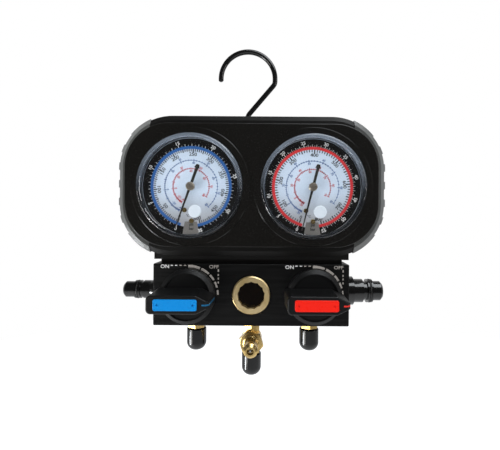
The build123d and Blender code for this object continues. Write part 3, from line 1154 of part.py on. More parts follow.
    # Insert: coloured plate with two small dimples, over the knob's screw.
    with BuildPart() as knob_insert:
        with BuildSketch(front_plane(knob_x - INSERT_SHIFT, 0, insert_floor)):
            RectangleRounded(INSERT_LENGTH, INSERT_WIDTH, INSERT_CORNER)
        extrude(amount=INSERT_THICKNESS)
        fillet(knob_insert.faces().sort_by(Axis.Y)[0].edges(), INSERT_PROUD)
        with BuildSketch(front_plane(knob_x - INSERT_SHIFT, 0, insert_floor + INSERT_THICKNESS / 2)):
            with Locations((-INSERT_DIMPLE_X, 0), (INSERT_DIMPLE_X, 0)):
                Circle(INSERT_DIMPLE_RADIUS)
        extrude(amount=INSERT_THICKNESS, mode=Mode.SUBTRACT)
    knob_insert.part.label = f"{name}_knob_insert"
    export_step(knob_insert.part, f"parts/{name}_knob_insert.step")

    with BuildPart() as knob_screw:
        round_bar(front_plane(knob_x, 0, KNOB_SCREW_END), KNOB_SCREW_RADIUS, KNOB_SCREW_SEAT - KNOB_SCREW_END)
        round_bar(front_plane(knob_x, 0, KNOB_SCREW_SEAT), KNOB_SCREW_HEAD_RADIUS, KNOB_SCREW_HEAD_HEIGHT)
        socket_plane = front_plane(knob_x, 0, KNOB_SCREW_SEAT + KNOB_SCREW_HEAD_HEIGHT / 2)
        hex_bar(socket_plane, 2 * KNOB_SCREW_SOCKET, KNOB_SCREW_HEAD_HEIGHT, mode=Mode.SUBTRACT)
    knob_screw.part.label = f"{name}_knob_screw"
    export_step(knob_screw.part, f"parts/{name}_knob_screw.step")

# ---- Ports: pipe thread, hexagon and a flare that points down, under a round-ended cap ----
cap_top_gap = FREE_GAP


def flare_outline(top):
    """Half section of a flare nipple that points down from a level: (radius, z)."""
    return [
        (0, top),
        (FLARE_RADIUS, top),
        (FLARE_RADIUS, top - FLARE_LENGTH),
        (FLARE_TIP_RADIUS, top - FLARE_LENGTH - FLARE_CONE),
        (0, top - FLARE_LENGTH - FLARE_CONE),
    ]


def make_cap(x, top, name):
    """Push-on cap that hangs under a flare, its rim just below the hexagon."""
    rim = top - FREE_GAP
    with BuildPart() as cap:
        round_bar(level_plane(x, rim - CAP_LENGTH), CAP_RADIUS, CAP_LENGTH)
        fillet(cap.edges().group_by(Axis.Z)[0], CAP_END_ROUNDING)
        fillet(cap.edges().group_by(Axis.Z)[-1], CAP_RIM_ROUNDING)
        cap_floor = rim - CAP_LENGTH + CAP_END_WALL
        round_bar(level_plane(x, cap_floor), FLARE_RADIUS + FREE_GAP, CAP_LENGTH, mode=Mode.SUBTRACT)
    cap.part.label = f"{name}_port_cap"
    export_step(cap.part, f"parts/{name}_port_cap.step")


flare_top = BLOCK_BOTTOM - PORT_HEX_LENGTH
for name, side in SIDES.items():
    port_x = PORT_SHIFT + side * PORT_SPACING / 2
    with BuildPart() as port:
        thread_plane = level_plane(port_x, BLOCK_BOTTOM)
        round_bar(thread_plane, PIPE_THREAD_RADIUS - FIT, PIPE_THREAD_LENGTH - STATIC_GAP)
        hex_bar(level_plane(port_x, flare_top), PORT_HEX_FLATS, PORT_HEX_LENGTH, turn=30)
        turned(flare_outline(flare_top), upright_section(port_x), upright_axis(port_x))
        port_length = PIPE_THREAD_LENGTH + PORT_HEX_LENGTH + FLARE_LENGTH + FLARE_CONE
        port_end = flare_top - FLARE_LENGTH - FLARE_CONE
        round_bar(level_plane(port_x, port_end), GALLERY_RADIUS, port_length, mode=Mode.SUBTRACT)
    port.part.label = f"{name}_port"
    export_step(port.part, f"parts/{name}_port.step")
    make_cap(port_x, flare_top, name)

# ---- Centre tee: upright hexagon stem, turned front nut with a flare, and a lower flare ----
tee_flare_top = TEE_Z - TEE_BODY_RADIUS - TEE_BOTTOM_HEX_LENGTH + 2
with BuildPart() as tee_nut:
    hex_bar(front_plane(0, TEE_Z, TEE_HEX_BACK), TEE_HEX_FLATS, TEE_HEX_FRONT - TEE_HEX_BACK, turn=TEE_HEX_TURN)
    nut_rounding = [
        (0, TEE_HEX_BACK),
        (TEE_HEX_FLATS, TEE_HEX_BACK),
        (TEE_HEX_FLATS, TEE_HEX_FRONT - TEE_HEX_FLATS / 4),
        (TEE_HEX_FLATS / 2, TEE_HEX_FRONT),
        (0, TEE_HEX_FRONT),
    ]
    turned(nut_rounding, half_section(0, TEE_Z), front_axis(0, TEE_Z), mode=Mode.INTERSECT)

with BuildPart() as centre_tee:
    round_bar(level_plane(0, BLOCK_BOTTOM), PIPE_THREAD_RADIUS - FIT, PIPE_THREAD_LENGTH - STATIC_GAP)
    hex_bar(level_plane(0, TEE_Z), PORT_HEX_FLATS, BLOCK_BOTTOM - TEE_Z, turn=30)
    tee_body = [
        (0, TEE_BODY_BACK),
        (TEE_BODY_RADIUS - TEE_HEX_CHAMFER, TEE_BODY_BACK),
        (TEE_BODY_RADIUS, TEE_BODY_BACK + TEE_HEX_CHAMFER),
        (TEE_BODY_RADIUS, TEE_HEX_BACK),
        (0, TEE_HEX_BACK),
    ]
    turned(tee_body, half_section(0, TEE_Z), front_axis(0, TEE_Z))
    add(tee_nut.part)
    front_flare = [
        (0, TEE_HEX_FRONT),
        (TEE_COLLAR_RADIUS, TEE_HEX_FRONT),
        (TEE_COLLAR_RADIUS, TEE_HEX_FRONT + 1.0),
        (FLARE_RADIUS, TEE_HEX_FRONT + 1.6),
        (FLARE_RADIUS, TEE_FRONT - FLARE_CONE),
        (FLARE_TIP_RADIUS, TEE_FRONT),
        (0, TEE_FRONT),
    ]
    turned(front_flare, half_section(0, TEE_Z), front_axis(0, TEE_Z))
    hex_bar(level_plane(0, tee_flare_top), PORT_HEX_FLATS, TEE_Z - tee_flare_top, turn=30)
    turned(flare_outline(tee_flare_top), upright_section(0), upright_axis(0))
    tee_end = tee_flare_top - FLARE_LENGTH - FLARE_CONE
    round_bar(level_plane(0, tee_end), GALLERY_RADIUS, BLOCK_BOTTOM + PIPE_THREAD_LENGTH - tee_end, mode=Mode.SUBTRACT)
    round_bar(front_plane(0, TEE_Z, PIPE_HEIGHT), CORE_NECK_RADIUS, TEE_FRONT, mode=Mode.SUBTRACT)
    core_bore = front_plane(0, TEE_Z, CORE_PIN_BACK - 2 * CORE_NECK_RADIUS)
    round_bar(core_bore, CORE_BORE_RADIUS, TEE_FRONT, mode=Mode.SUBTRACT)
centre_tee.part.label = "centre_tee"
export_step(centre_tee.part, "parts/centre_tee.step")
make_cap(0, tee_flare_top, "centre")

# ---- Service valve core in the tee's front flare, and its sprung pin ----
with BuildPart() as service_core:
    core_plane = front_plane(0, TEE_Z, CORE_BACK)
    round_bar(core_plane, CORE_BORE_RADIUS - FIT, CORE_FRONT - CORE_BACK)
    round_bar(core_plane, CORE_PIN_RADIUS + FIT, CORE_FRONT, mode=Mode.SUBTRACT)
    with BuildSketch(front_plane(0, TEE_Z, CORE_FRONT - 2)):
        Rectangle(2 * CORE_BORE_RADIUS, CORE_BORE_RADIUS / 2)
    extrude(amount=CORE_FRONT, mode=Mode.SUBTRACT)
service_core.part.label = "service_core"
export_step(service_core.part, "parts/service_core.step")

with BuildPart() as service_pin:
    pin_section = [
        (0, CORE_PIN_BACK),
        (2 * CORE_PIN_RADIUS, CORE_PIN_BACK),
        (2 * CORE_PIN_RADIUS, CORE_BACK - FREE_GAP),
        (CORE_PIN_RADIUS, CORE_BACK - FREE_GAP),
        (CORE_PIN_RADIUS, CORE_PIN_FRONT),
        (0, CORE_PIN_FRONT),
    ]
    turned(pin_section, half_section(0, TEE_Z), front_axis(0, TEE_Z))
service_pin.part.label = "service_pin"
export_step(service_pin.part, "parts/service_pin.step")

# ---- Hose posts: turned studs in the block's sides, with a sealing ring on the bead ----
post_stud_length = BLOCK_WIDTH / 2 - valve_x - SEAT_OUTER_REACH - STATIC_GAP
rings = {}
for name, side in SIDES.items():
    post = POSTS[name]
    side_x = BLOCK_WIDTH / 2
    ring_x = (post["groove_end"] + post["bead_end"]) / 2
    ring_floor = post["bead"] - 2 * POST_RING_SECTION + POST_RING_SQUEEZE
    outline = [
        (-post_stud_length, 0),
        (-post_stud_length, POST_STUD_RADIUS),
        (0, POST_STUD_RADIUS),
        (0, post["flange"]),
        (post["cone"], post["flange_end"]),
        (post["cone"], post["body"]),
        (post["body_end"], post["body"]),
        (post["body_end"], post["groove"]),
        (post["groove_end"], post["groove"]),
        (post["groove_end"], post["bead"]),
        (ring_x - POST_RING_SECTION, post["bead"]),
        (ring_x - POST_RING_SECTION, ring_floor),
        (ring_x + POST_RING_SECTION, ring_floor),
        (ring_x + POST_RING_SECTION, post["bead"]),
        (post["bead_end"], post["bead"]),
        (post["bead_end"], post["end"]),
        (post["reach"] - POST_CHAMFER, post["end"]),
        (post["reach"], post["end"] - POST_CHAMFER),
        (post["reach"], 0),
    ]
    post_plane = front_plane(0, 0, GALLERY_HEIGHT)
    with BuildPart() as hose_post:
        placed = [(side * (side_x + distance), radius) for distance, radius in outline]
        turned(list(dict.fromkeys(placed)), post_plane, gallery_axis)
    hose_post.part.label = f"{name}_hose_post"
    export_step(hose_post.part, f"parts/{name}_hose_post.step")
    rings[name] = (side * (side_x + ring_x), ring_floor + POST_RING_SECTION)

with BuildPart() as post_rings:
    for ring_x, ring_radius in rings.values():
        with BuildSketch(front_plane(0, 0, GALLERY_HEIGHT)) as ring:
            with Locations((ring_x, ring_radius)):
                Circle(POST_RING_SECTION - STATIC_GAP)
        revolve(ring.sketch, axis=gallery_axis)
post_rings.part.label = "post_rings"
export_step(post_rings.part, "parts/post_rings.step")
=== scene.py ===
"""Looks for the refrigerant manifold gauge: materials, dial and block printing, light and camera.

Lengths are in metres in the model's frame: X to the high side, Z up, the front towards -Y.
Dial angles are in degrees clockwise from the top, as a gauge is read.
"""

import math

import bpy
from mathutils import Matrix, Vector


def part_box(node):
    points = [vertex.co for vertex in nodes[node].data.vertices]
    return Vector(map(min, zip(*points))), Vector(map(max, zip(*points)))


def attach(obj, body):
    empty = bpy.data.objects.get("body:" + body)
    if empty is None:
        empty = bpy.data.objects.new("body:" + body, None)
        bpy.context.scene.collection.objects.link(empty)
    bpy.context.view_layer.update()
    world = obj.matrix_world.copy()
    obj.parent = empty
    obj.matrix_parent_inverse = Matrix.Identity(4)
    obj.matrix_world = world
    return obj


MM = 0.001
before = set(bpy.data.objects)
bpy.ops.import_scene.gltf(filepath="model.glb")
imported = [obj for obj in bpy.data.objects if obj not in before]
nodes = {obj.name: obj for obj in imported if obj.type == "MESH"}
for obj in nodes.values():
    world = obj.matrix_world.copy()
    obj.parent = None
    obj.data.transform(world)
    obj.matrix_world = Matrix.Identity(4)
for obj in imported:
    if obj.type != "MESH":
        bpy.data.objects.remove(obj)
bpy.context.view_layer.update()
scene = bpy.context.scene
BODY = "manifold"
SIDES = ("low", "high")


# ---- Places read from the frame ----
def centre(node):
    low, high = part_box(node)
    return (low + high) / 2


dial_places = {side: (centre(f"{side}_dial").x, centre(f"{side}_dial").z) for side in SIDES}
dial_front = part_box("low_dial")[0].y
dial_z = dial_places["low"][1]
block_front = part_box("manifold_block")[0].y
knob_places = {side: (centre(f"{side}_spindle").x, centre(f"{side}_spindle").z) for side in SIDES}
knob_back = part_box("low_knob")[1].y


# ---- Building node trees ----
NOISE_LOW = 0.3  # a noise seldom leaves this range
NOISE_HIGH = 0.7


class Nodes:
    """Short names for building one node tree."""

    def __init__(self, tree):
        self.tree = tree

    def add(self, kind, **inputs):
        node = self.tree.nodes.new(kind)
        for key, value in inputs.items():
            node.inputs[key.replace("_", " ")].default_value = value
        return node

    def link(self, source, target):
        self.tree.links.new(source, target)

    def coordinates(self, scale=(1, 1, 1)):
        place = self.add("ShaderNodeTexCoord")
        mapping = self.add("ShaderNodeMapping", Scale=scale)
        self.link(place.outputs["Object"], mapping.inputs["Vector"])
        return mapping.outputs["Vector"]

    def axis(self, name, vector=None):
        """X, Y or Z of a vector, or of the shaded point where none is given."""
        if vector is None:
            vector = self.coordinates()
        split = self.add("ShaderNodeSeparateXYZ")
        self.link(vector, split.inputs["Vector"])
        return split.outputs[name]

    def noise(self, scale, detail, stretch=(1, 1, 1)):
        node = self.add("ShaderNodeTexNoise", Scale=scale, Detail=detail)
        self.link(self.coordinates(stretch), node.inputs["Vector"])
        return node.outputs["Fac"]

    def ramp(self, source, low, high, start=0.0, end=1.0):
        """Low to high while the source goes from start to end."""
        node = self.add("ShaderNodeMapRange", From_Min=start, From_Max=end, To_Min=low, To_Max=high)
        self.link(source, node.inputs["Value"])
        return node.outputs["Result"]

    def math(self, operation, first, second=None):
        """A maths node on one socket and, where it takes two values, another socket or a number."""
        node = self.add("ShaderNodeMath")
        node.operation = operation
        self.link(first, node.inputs[0])
        if isinstance(second, (int, float)):
            node.inputs[1].default_value = second
        elif second is not None:
            self.link(second, node.inputs[1])
        return node.outputs[0]

    def vector_math(self, operation, source, constant=(0, 0, 0)):
        node = self.add("ShaderNodeVectorMath")
        node.operation = operation
        node.inputs[1].default_value = constant
        self.link(source, node.inputs[0])
        return node.outputs["Value" if operation == "LENGTH" else "Vector"]

    def mix_colour(self, factor, first, second):
        node = self.add("ShaderNodeMix")
        node.data_type = "RGBA"
        colour_inputs = [socket for socket in node.inputs if socket.type == "RGBA"]
        for socket, value in zip(colour_inputs, (first, second)):
            if isinstance(value, tuple):
                socket.default_value = (*value, 1)
            else:
                self.link(value, socket)
        self.link(factor, node.inputs[0])
        return [socket for socket in node.outputs if socket.type == "RGBA"][0]

    def mix_shader(self, factor, first, second):
        node = self.add("ShaderNodeMixShader")
        self.link(factor, node.inputs["Fac"])
        self.link(first, node.inputs[1])
        self.link(second, node.inputs[2])
        return node.outputs["Shader"]

    def ray(self, kind):
        return self.add("ShaderNodeLightPath").outputs[f"Is {kind} Ray"]

    def seen_ray(self):
        """1 for rays that show a surface: from the camera, in a reflection or through glass."""
        mirrored = self.math("MAXIMUM", self.ray("Camera"), self.ray("Glossy"))
        return self.math("MAXIMUM", mirrored, self.ray("Transmission"))


class Material(Nodes):
    """One material, with its main shader."""

    def __init__(self, name):
        self.material = bpy.data.materials.new(name)
        self.material.use_nodes = True
        super().__init__(self.material.node_tree)
        self.shader = self.tree.nodes["Principled BSDF"]
        self.output = self.tree.nodes["Material Output"]

    def set(self, **inputs):
        for key, value in inputs.items():
            self.shader.inputs[key.replace("_", " ")].default_value = value

    def colour(self, source):
        self.link(source, self.shader.inputs["Base Color"])

    def roughness(self, source, rough):
        """Uneven gloss: rough gives the smoothest and the roughest value."""
        self.link(self.ramp(source, *rough, NOISE_LOW, NOISE_HIGH), self.shader.inputs["Roughness"])

    def bump(self, source, height):
        node = self.add("ShaderNodeBump", Strength=1.0, Distance=height)
        self.link(source, node.inputs["Height"])
        self.link(node.outputs["Normal"], self.shader.inputs["Normal"])


# ---- Materials ----
def surface(name, colour, second=None, rough=(0.3, 0.5), metal=0.0, grain=900.0, relief=0.01 * MM,
            blotch=40.0, coat=0.0, sheen=0.0, specular=0.5):
    """A plain finish: two close colours in soft patches, a fine grain and uneven gloss."""
    made = Material(name)
    made.set(Metallic=metal, Specular_IOR_Level=specular, Sheen_Weight=sheen)
    made.set(Coat_Weight=coat, Coat_Roughness=0.06)
    patches = made.noise(blotch, 3.0)
    fine = made.noise(grain, 3.0)
    other = second or tuple(value * 0.8 for value in colour)
    made.colour(made.mix_colour(patches, colour, other))
    made.roughness(fine, rough)
    made.bump(fine, relief)
    return made.material


LENS_WINDOW_RADIUS = 37.0 * MM
LENS_RIM_BLEND = 0.8 * MM
LENS_RIM_PAINTED_LIGHT_TOP = 0.4  # how much painted light, as a milky layer, the rim shows at the top of a gauge
LENS_RIM_SHADE = 0.02  # and at the bottom
LENS_LIT_FROM = -5 * MM  # heights from the dials' axes between which the painted light on the rim grows
LENS_LIT_TO = 30 * MM


def lens_material():
    """Clear moulded plastic: a window that lets light through, and a rim with a grey tint of painted
    shade and a milky layer of painted light that grows towards the top.
    """
    made = Material("clear_lens")
    made.set(Transmission_Weight=1.0, IOR=1.49, Roughness=0.03)
    distances = []
    for x, z in dial_places.values():
        offset = made.vector_math("SUBTRACT", made.coordinates(), (x, 0, z))
        flat = made.vector_math("MULTIPLY", offset, (1, 0, 1))
        distances.append(made.vector_math("LENGTH", flat))
    distance = made.math("MINIMUM", *distances)
    at_rim = made.ramp(distance, 0.0, 1.0, LENS_WINDOW_RADIUS, LENS_WINDOW_RADIUS + LENS_RIM_BLEND)
    # the grey tint on the rim is painted shade; the rim's plastic is as clear as the window
    made.colour(made.mix_colour(at_rim, (0.97, 0.98, 1.0), (0.3, 0.31, 0.33)))

    # painted light: a milky pale layer on the rim, growing towards the top of each gauge
    painted_light_shader = made.add("ShaderNodeBsdfPrincipled", Roughness=0.22, Specular_IOR_Level=0.8)
    streaks = made.noise(60.0, 2.0)
    painted_light_colour = made.mix_colour(streaks, (0.36, 0.42, 0.5), (0.26, 0.31, 0.38))
    made.link(painted_light_colour, painted_light_shader.inputs["Base Color"])
    lit_from, lit_to = dial_z + LENS_LIT_FROM, dial_z + LENS_LIT_TO
    lit = made.ramp(made.axis("Z"), LENS_RIM_SHADE, LENS_RIM_PAINTED_LIGHT_TOP, lit_from, lit_to)
    painted_light_share = made.math("MULTIPLY", at_rim, lit)
    body = made.mix_shader(painted_light_share, made.shader.outputs["BSDF"], painted_light_shader.outputs["BSDF"])

    clear = made.add("ShaderNodeBsdfTransparent")
    shown = made.mix_shader(made.ray("Shadow"), body, clear.outputs["BSDF"])
    made.link(shown, made.output.inputs["Surface"])
    return made.material


def brass_material(name, colour, tint, rough=(0.18, 0.34), lines=1.0):
    """Machined brass: fine turning lines, as deep as lines says, and slight tarnish."""
    made = Material(name)
    made.set(Metallic=1.0)
    tarnish = made.ramp(made.noise(120.0, 4.0), 0, 1, 0.35, 0.7)
    turning = made.noise(500.0, 3.0, (1, 6, 6))
    made.colour(made.mix_colour(tarnish, colour, tint))
    made.roughness(turning, rough)
    made.bump(turning, lines * 0.01 * MM)
    return made.material


STRIPE_START = 16.0 * MM  # from the knob's axis
STRIPE_BACK = 9.4 * MM  # how far the stripe's front end lies from the knob's back
STRIPE_HALF_WIDTH = 0.5 * MM
STRIPE_BLUR = 0.1 * MM
STRIPES = {"low": (0.004, 0.1, 0.22), "high": (0.7, 0.03, 0.02)}


def knob_material(name, place, stripe_colour):
    """Dark moulded knob with a painted line that runs along the pointer and down its end."""
    made = Material(name)
    made.set(Specular_IOR_Level=0.22)
    grain = made.noise(1500.0, 3.0)
    plain = made.mix_colour(made.noise(60.0, 3.0), (0.004, 0.004, 0.0042), (0.003, 0.003, 0.0032))

    start = place[0] + STRIPE_START
    front = knob_back - STRIPE_BACK
    away = made.math("ABSOLUTE", made.math("SUBTRACT", made.axis("Z"), place[1]))
    on_line = made.ramp(away, 1.0, 0.0, STRIPE_HALF_WIDTH, STRIPE_HALF_WIDTH + STRIPE_BLUR)
    beyond = made.ramp(made.axis("X"), 0.0, 1.0, start - STRIPE_BLUR, start + STRIPE_BLUR)
    in_front = made.ramp(made.axis("Y"), 1.0, 0.0, front - STRIPE_BLUR, front + STRIPE_BLUR)
    stripe = made.math("MULTIPLY", made.math("MULTIPLY", on_line, beyond), in_front)
    made.colour(made.mix_colour(stripe, plain, stripe_colour))
    made.roughness(grain, (0.38, 0.52))
    made.bump(grain, 0.012 * MM)
    return made.material


DIAL_PAINTED_SHADE_BELOW = -26 * MM  # heights from the dials' axes: painted shade is full below this and gone above the next
DIAL_PAINTED_SHADE_ENDS_ABOVE = -4 * MM


def dial_material():
    """Satin silver dial, cool at the top, with painted shade that makes it warmer and darker towards
    the bottom.
    """
    made = Material("dial_silver")
    made.set(Specular_IOR_Level=0.3)
    fine = made.noise(1800.0, 3.0)
    # painted shade: the dial's own cool colour at the top turns darker and warmer towards the bottom
    height = made.ramp(made.axis("Z"), 0.0, 1.0, dial_z + DIAL_PAINTED_SHADE_BELOW, dial_z + DIAL_PAINTED_SHADE_ENDS_ABOVE)
    made.colour(made.mix_colour(height, (0.37, 0.38, 0.4), (0.52, 0.61, 0.71)))
    made.roughness(fine, (0.34, 0.42))
    made.bump(fine, 0.002 * MM)
    return made.material


def anodised_material():
    """Black anodised block with fine brushing along X."""
    made = Material("black_anodised")
    made.set(Metallic=0.75, Specular_IOR_Level=0.4)
    brushing = made.noise(700.0, 5.0, (0.035, 1, 1))
    brushed = made.mix_colour(brushing, (0.002, 0.002, 0.002), (0.02, 0.02, 0.02))
    blotches = made.ramp(made.noise(35.0, 3.0), 0, 0.35)
    made.colour(made.mix_colour(blotches, brushed, (0.006, 0.005, 0.0045)))
    made.roughness(brushing, (0.34, 0.5))
    made.bump(brushing, 0.02 * MM)
    return made.material


def ink(name, colour):
    return surface(name, colour, rough=(0.4, 0.5), grain=1500)


WHITE_INK = ink("white_ink", (0.85, 0.85, 0.83))
# the block's marks are all white print; this darker ink draws those away from ON as painted shade
SHADED_WHITE_INK = ink("shaded_white_ink", (0.46, 0.42, 0.38))
BLACK_INK = ink("black_ink", (0.003, 0.003, 0.003))
BLUE_INK = ink("blue_ink", (0.006, 0.095, 0.33))
RED_INK = ink("red_ink", (0.62, 0.02, 0.025))
FAINT_BLUE_INK = ink("faint_blue_ink", (0.04, 0.1, 0.3))
FAINT_RED_INK = ink("faint_red_ink", (0.55, 0.07, 0.08))
DIAL_BLACK = surface(
    "dial_black", (0.0025, 0.0022, 0.002), rough=(0.35, 0.45), grain=1200, specular=0.1)
TAB_GREY = surface("tab_grey", (0.2, 0.19, 0.175), rough=(0.35, 0.45), grain=1200, specular=0.2)

FINISHES = {
    "manifold_block": anodised_material(),
    "rear_casing": surface(
        "casing_plastic", (0.006, 0.0055, 0.005), rough=(0.4, 0.52), grain=1400, specular=0.2),
    "front_cover": surface(
        "cover_plastic", (0.0065, 0.006, 0.0052), rough=(0.2, 0.28), grain=1600, relief=0.003 * MM,
        specular=0.3),
    "bumper": surface(
        "bumper_rubber", (0.05, 0.052, 0.048), (0.042, 0.044, 0.04), rough=(0.3, 0.42), grain=700,
        sheen=0.8, coat=0.35, specular=0.6),
    "casing_screws": surface("zinc_screws", (0.45, 0.45, 0.44), metal=1.0, rough=(0.3, 0.45)),
    "hook": surface(
        "hook_black", (0.004, 0.004, 0.004), rough=(0.12, 0.22), coat=0.3, grain=300, relief=0.02 * MM,
        specular=0.3),
    "steel": surface("steel", (0.5, 0.49, 0.47), metal=1.0, rough=(0.2, 0.35), grain=800),
    "brass": brass_material("brass", (0.58, 0.43, 0.19), (0.42, 0.3, 0.12)),
    "ring_brass": brass_material(
        "ring_brass", (0.95, 0.74, 0.4), (0.8, 0.58, 0.26), rough=(0.34, 0.42), lines=0.3),
    "pale_brass": brass_material(
        "pale_brass", (0.72, 0.52, 0.22), (0.5, 0.34, 0.11), rough=(0.22, 0.32), lines=0.2),
    "nickel": brass_material("nickel_silver", (0.5, 0.44, 0.35), (0.38, 0.33, 0.26), rough=(0.25, 0.4)),
    "bronze": brass_material("bronze", (0.55, 0.34, 0.17), (0.42, 0.24, 0.1)),
    "dial": dial_material(),
    "pointer": surface("pointer_black", (0.025, 0.022, 0.019), rough=(0.3, 0.42), metal=0.3),
    "gauge_case": surface("gauge_case_black", (0.012, 0.012, 0.012), rough=(0.3, 0.4)),
    "lens_plug": surface(
        "milky_plug", (0.66, 0.72, 0.78), (0.58, 0.65, 0.72), rough=(0.25, 0.35), coat=0.3),
    "seal": surface("black_rubber", (0.01, 0.01, 0.01), rough=(0.35, 0.5), grain=600),
    "seat": surface("white_seat", (0.75, 0.75, 0.72), rough=(0.35, 0.45)),
    "post": surface(
        "post_black", (0.003, 0.003, 0.003), rough=(0.12, 0.2), coat=0.4, grain=400, relief=0.006 * MM,
        specular=0.4),
    "cap": surface(
        "cap_black", (0.003, 0.003, 0.003), rough=(0.1, 0.18), coat=0.3, grain=400, relief=0.005 * MM,
        specular=0.3),
    "sight_glass": surface(
        "sight_glass_dark", (0.007, 0.004, 0.003), (0.002, 0.0015, 0.001), rough=(0.03, 0.08),
        blotch=90.0, relief=0.001 * MM, specular=0.4),
    "insert_blue": surface(
        "insert_blue", (0.0, 0.24, 0.66), (0.0, 0.22, 0.6), rough=(0.26, 0.36), grain=1300,
        specular=0.3),
    "insert_red": surface(
        "insert_red", (0.9, 0.013, 0.003), (0.82, 0.011, 0.003), rough=(0.26, 0.36), grain=1300,
        specular=0.3),
    "lens": lens_material(),
}
FINISH_OF_PIECE = {
    "left_bumper": "bumper", "right_bumper": "bumper", "hook_nut": "steel", "sight_seal": "seal",
    "sight_ring": "ring_brass", "valve_seats": "seat", "gland_nuts": "brass", "dial_screws": "brass",
    "centre_tee": "pale_brass", "service_core": "brass", "service_pin": "steel", "port": "pale_brass",
    "port_cap": "cap", "centre_port_cap": "cap", "hose_post": "post", "post_rings": "seal",
    "gauge_stem": "pale_brass", "pinion": "nickel", "sector_gear": "brass", "link": "brass",
    "pressure_tube": "bronze", "movement_frame": "brass", "knob_screw": "steel", "spindle": "brass",
    "valve_ball": "brass", "spindle_seals": "seal",
}
INSERTS = {"low": "insert_blue", "high": "insert_red"}


def finish_for(name):
    """The finish of a CAD node, from its side and what kind of piece it is."""
    side, _, kind = name.partition("_")
    if side not in SIDES:
        return FINISHES[FINISH_OF_PIECE.get(name, name)]
    if kind == "knob":
        return knob_material(f"{side}_knob_plastic", knob_places[side], STRIPES[side])
    if kind == "knob_insert":
        return FINISHES[INSERTS[side]]
    return FINISHES[FINISH_OF_PIECE.get(kind, kind)]


for node_name, node in nodes.items():
    node.data.materials.clear()
    node.data.materials.append(finish_for(node_name))


# ---- Flat printing on plates that face the front ----
PRINT_LIFT = 0.03 * MM  # printing stands this far off its plate
PRINT_STEP = 0.02 * MM  # a colour lies this far over the one a level lower
BORDER_LEVEL = 0
RING_LEVEL = 1
TAB_LEVEL = 1.5
SCALE_LEVEL = 2
CAPITAL_SHARE = 0.72  # a capital's height in a lettering's size
LETTER_RESOLUTION = 3
ANNULUS_STEPS = 96
SCALE_LINE_STEPS = 90
ARC_SEGMENT_STEPS = 12


class Print:
    """Collects flat shapes of one colour into one mesh that faces the front."""

    def __init__(self, plate_y, centre_x, centre_z):
        self.plate_y = plate_y
        self.origin = (centre_x, centre_z)
        self.points = []
        self.faces = []

    def polygon(self, corners):
        """A flat shape, its corners counterclockwise as seen from the front."""
        start = len(self.points)
        for x, z in corners:
            self.points.append((self.origin[0] + x, self.plate_y, self.origin[1] + z))
        self.faces.append(tuple(range(start, start + len(corners))))

    def rectangle(self, left, bottom, right, top):
        self.polygon([(left, bottom), (right, bottom), (right, top), (left, top)])

    def band(self, inner, outer, start_angle, end_angle, steps, inner_end=None):
        """Arc band between two dial angles; its inner radius may change towards its end."""
        inner_end = inner if inner_end is None else inner_end
        for step in range(steps):
            quad = []
            for share, use_outer in ((step, True), (step + 1, True), (step + 1, False), (step, False)):
                part = share / steps
                angle = math.radians(start_angle + (end_angle - start_angle) * part)
                radius = outer if use_outer else inner + (inner_end - inner) * part
                quad.append((radius * math.sin(angle), radius * math.cos(angle)))
            self.polygon(quad[::-1])

    def tick(self, angle, inner, outer, width):
        turn = math.radians(angle)
        out = Vector((math.sin(turn), math.cos(turn)))
        across = Vector((out.y, -out.x)) * width / 2
        near, far = out * inner, out * outer
        corners = [near + across, far + across, far - across, near - across]
        self.polygon([tuple(corner) for corner in corners])

    def text(self, words, x, z, height, turn=0.0, width=1.0, bold=0.03):
        """Lettering of a capital height, turned counterclockwise; bold is a share of the height."""
        curve = bpy.data.curves.new("lettering", "FONT")
        curve.body = words
        curve.size = height / CAPITAL_SHARE
        curve.offset = bold * height
        curve.align_x = "CENTER"
        curve.align_y = "CENTER"
        curve.resolution_u = LETTER_RESOLUTION
        holder = bpy.data.objects.new("lettering", curve)
        scene.collection.objects.link(holder)
        bpy.context.view_layer.update()
        mesh = bpy.data.meshes.new_from_object(holder)
        spin = Matrix.Rotation(math.radians(turn), 2)
        start = len(self.points)
        for vertex in mesh.vertices:
            flat = spin @ Vector((vertex.co.x * width, vertex.co.y))
            place = (self.origin[0] + x + flat.x, self.plate_y, self.origin[1] + z + flat.y)
            self.points.append(place)
        for polygon in mesh.polygons:
            self.faces.append(tuple(start + index for index in polygon.vertices))
        bpy.data.objects.remove(holder)
        bpy.data.curves.remove(curve)
        bpy.data.meshes.remove(mesh)

    def dial_text(self, words, angle, radius, height, width=1.0, bold=0.03):
        """Lettering round a dial, kept upright in both halves."""
        turn = math.radians(angle)
        reading = -angle % 360
        if 90 < reading < 270:
            reading += 180
        x, z = radius * math.sin(turn), radius * math.cos(turn)
        self.text(words, x, z, height, reading, width, bold)

    def make(self, name, material, slot):
        mesh = bpy.data.meshes.new(name)
        mesh.from_pydata(self.points, [], self.faces)
        mesh.materials.append(material)
        piece = bpy.data.objects.new(name, mesh)
        scene.collection.objects.link(piece)
        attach(piece, BODY)


# ---- Printing on the dials ----
SCALE_START = 200.0
SCALE_SPAN = 326.0
PSI_PER_BAR = 14.5038
DIALS = {
    "low": {
        "psi": 500, "psi_label": 50, "psi_minor": 5, "psi_middle": 25, "bar": 34, "ring": BLUE_INK},
    "high": {
        "psi": 800, "psi_label": 100, "psi_minor": 10, "psi_middle": 50, "bar": 55, "ring": RED_INK},
}
BORDER_RADIUS = 37.5 * MM
RING_OUTER = 31.4 * MM
RING_INNER = 29.2 * MM
RING_PAST_SCALE = 5  # degrees past each end of the scale
NUMERAL_WIDTH = 1.1

